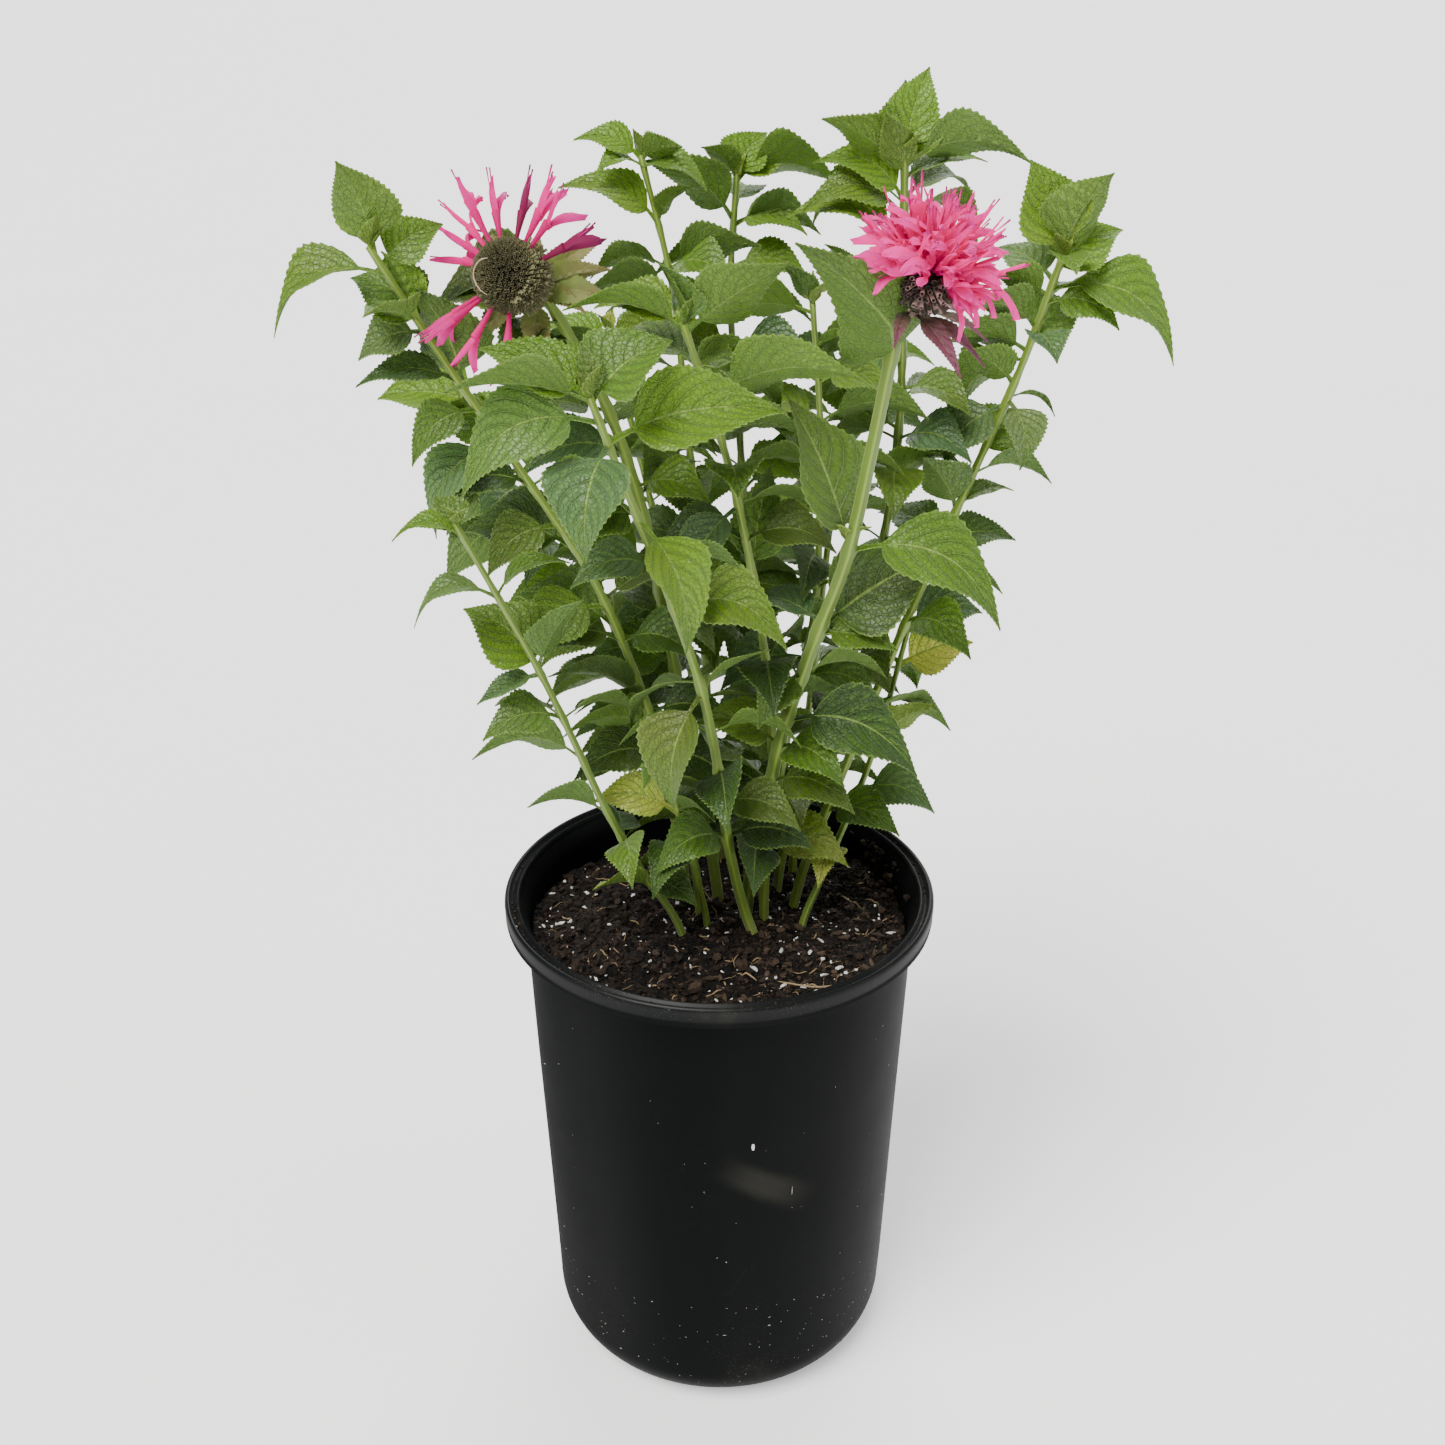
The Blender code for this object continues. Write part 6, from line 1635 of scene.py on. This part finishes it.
def soil_bed(look, edge):
    """The whole block of soil, with lumps on top."""
    profile = [(edge * ring / SOIL_RINGS, SOIL_LEVEL) for ring in range(SOIL_RINGS + 1)]
    profile += corner_arc(FOOT_RADIUS - WALL - FIT, FLOOR + FIT, CORNER - FLOOR, 6)
    profile += [(0.0, FLOOR + FIT)]
    shape = spun(profile, look.round_steps)
    for vertex in shape.verts:
        if abs(vertex.co.z - SOIL_LEVEL * MM) < 0.01 * MM:
            vertex.co.z = soil_surface(vertex.co.x / MM, vertex.co.y / MM) * MM
    make_piece("soil_bed", shape, soil_paint("potting soil", look), ["soil"])


def soil_crumbs(look, edge, rng, paint):
    """Crumbs of peat all over the soil, in batches."""
    for batch in range(CRUMB_BATCHES):
        shape = new_shape()
        for index in range(look.crumbs // CRUMB_BATCHES):
            x, y = scatter(rng, edge - 1.5)
            size = 0.3 + 1.5 * rng.random() ** 5
            brown = rng.random() ** 2.6 * min(1.0, max(0.35, 0.75 + 0.008 * x))
            grain(shape, on_soil(x, y, 0.35 * size), size, rng, (brown, rng.random(), 0.0), 0.45,
                  rng.uniform(0.8, 2.0))
        make_piece("soil_crumbs_" + str(batch), shape, paint, [], 0.4)


def rim_dirt(rng, paint):
    """Dirt in the groove of the rim, and some on the wall above the soil's heap."""
    shape = new_shape()
    for index in range(RIM_CRUMBS):
        angle = rng.choice((rng.uniform(0.0, 1.2), rng.uniform(2.6, 4.0), rng.uniform(0.0, math.tau)))
        radius = RIM_RADIUS - RIM_WIDTH + rng.uniform(1.8, 3.6)
        place = round_point(radius, angle, POT_HEIGHT - 1.7)
        grain(shape, place, rng.uniform(0.25, 0.7), rng, (rng.random() ** 2, 0.0, 0.0), 0.4)
    for index in range(WALL_CRUMBS):
        place = round_point(81.6, rng.gauss(0.42, 0.16), rng.uniform(214.0, 225.0))
        grain(shape, place, rng.uniform(0.7, 2.0), rng, (rng.random() ** 2, 0.0, 0.0), 0.4)
    make_piece("rim_dirt", shape, paint, [], 0.4)


def perlite_grains(look, edge, rng):
    """White grains on the soil, and one on the rim."""
    shape = new_shape()
    for index in range(look.perlite):
        x, y = scatter(rng, edge - 2.0)
        size = 0.34 + 0.8 * rng.random() ** 2.2
        grain(shape, on_soil(x, y, 0.45 * size), size, rng, (rng.random(), 0.0, 0.0), 0.35,
              rng.uniform(0.9, 2.4))
    grain(shape, Vector((-85.0, -31.0, POT_HEIGHT - 1.5)), 0.9, rng, (0.4, 0.0, 0.0), 0.35, 1.6)
    paint = crumb_paint("perlite", (0.45, 0.43, 0.38), (0.9, 0.89, 0.86), 0.7)
    make_piece("perlite", shape, paint, [], 0.6)


def soil_fibres(edge, rng):
    """Short bent fibres that lie on the soil, and one long straw."""
    shape = new_shape()
    for index in range(FIBRES):
        x, y = scatter(rng, edge - 8.0)
        heading = rng.uniform(0.0, math.tau)
        long = rng.uniform(3.0, 9.0)
        bend = rng.gauss(0.0, 0.5)
        points = []
        for step in range(6):
            share = step / 5.0
            angle = heading + bend * share
            right = x + long * share * math.cos(angle)
            away = y + long * share * math.sin(angle)
            if math.hypot(right, away) > edge - 1.5:
                right, away = x, y + 0.02 * step
            points.append(on_soil(right, away, 0.7))
        width = rng.uniform(0.15, 0.42)
        pale = rng.random()
        tube(shape, points, [width * share for share in FIBRE_RADII], 4,
             lambda share: (pale, 0.0, 0.0))
    straw = smooth_route(STRAW, len(STRAW_RADII))
    tube(shape, straw, STRAW_RADII, 5, lambda share: (0.8, 0.0, 0.0))
    paint = crumb_paint("soil fibre", (0.07, 0.035, 0.02), (0.42, 0.31, 0.17), 0.8)
    make_piece("soil_fibre", shape, paint, [])


class BEEBALM_OT_soil(bpy.types.Operator):
    """Makes the potting soil with its crumbs, perlite and fibres"""
    bl_idname = "beebalm.soil"
    bl_label = "Potting soil"

    def execute(self, context):
        look = context.scene.bee_balm
        rng = random.Random(3)
        edge = wall_radius(SOIL_LEVEL) - WALL - 2.0 * FIT
        soil_bed(look, edge)
        paint = crumb_paint("soil crumbs", look.soil_dark_and_shade, look.soil_red, 0.85)
        soil_crumbs(look, edge, rng, paint)
        rim_dirt(rng, paint)
        perlite_grains(look, edge, rng)
        soil_fibres(edge, rng)
        return {"FINISHED"}


def far_light(name, place, spread, strength, colour):
    """A far lamp that shines from a place towards the plant, as wide as a soft box."""
    lamp = bpy.data.lights.new(name, "SUN")
    lamp.angle = math.radians(spread)
    lamp.energy = strength
    lamp.color = colour
    light = linked(name, lamp)
    light.location = place
    aim = Vector((0.0, 0.0, 0.3)) - Vector(place)
    light.rotation_euler = aim.to_track_quat("-Z", "Y").to_euler()


class BEEBALM_OT_stage(bpy.types.Operator):
    """Makes the camera, the pale floor and the soft light"""
    bl_idname = "beebalm.stage"
    bl_label = "Camera, floor and light"

    def execute(self, context):
        lens = bpy.data.cameras.new("camera")
        lens.lens = LENS
        lens.sensor_width = 36.0
        lens.clip_start = 0.01
        lens.clip_end = 300.0
        camera = linked("camera", lens)
        camera.location = CAMERA_PLACE
        camera.rotation_euler = (math.radians(CAMERA_TILT), 0.0, 0.0)
        context.scene.camera = camera
        shape = bmesh.new()
        bmesh.ops.create_grid(shape, x_segments=2, y_segments=2, size=90.0)
        floor = mesh_object("floor", shape)
        floor.data.materials.append(floor_paint("pale floor"))
        world = bpy.data.worlds.new("studio")
        world.use_nodes = True
        sky = world.node_tree.nodes["Background"].inputs
        sky["Color"].default_value = SKY
        sky["Strength"].default_value = SKY_STRENGTH
        context.scene.world = world
        for lamp in LAMPS:
            far_light(*lamp)
        return {"FINISHED"}


class BEEBALM_PT_panel(bpy.types.Panel):
    """Lists the pieces of the bee balm"""
    bl_label = "Bee balm"
    bl_idname = "BEEBALM_PT_panel"
    bl_space_type = "VIEW_3D"
    bl_region_type = "UI"
    bl_category = "Bee balm"

    def draw(self, context):
        for operator in OPERATORS:
            self.layout.operator(operator.bl_idname)
        for name in Look.__annotations__:
            self.layout.prop(context.scene.bee_balm, name)


OPERATORS = (BEEBALM_OT_pot, BEEBALM_OT_soil, BEEBALM_OT_shoots, BEEBALM_OT_bloom,
             BEEBALM_OT_seed_head, BEEBALM_OT_stage)
CLASSES = (Look, *OPERATORS, BEEBALM_PT_panel)


def register():
    for cls in CLASSES:
        bpy.utils.register_class(cls)
    bpy.types.Scene.bee_balm = PointerProperty(type=Look)


def unregister():
    del bpy.types.Scene.bee_balm
    for cls in reversed(CLASSES):
        bpy.utils.unregister_class(cls)


def main():
    register()
    bpy.ops.beebalm.pot()
    bpy.ops.beebalm.soil()
    bpy.ops.beebalm.shoots()
    bpy.ops.beebalm.bloom()
    bpy.ops.beebalm.seed_head()
    bpy.ops.beebalm.stage()


if __name__ == "__main__":
    main()
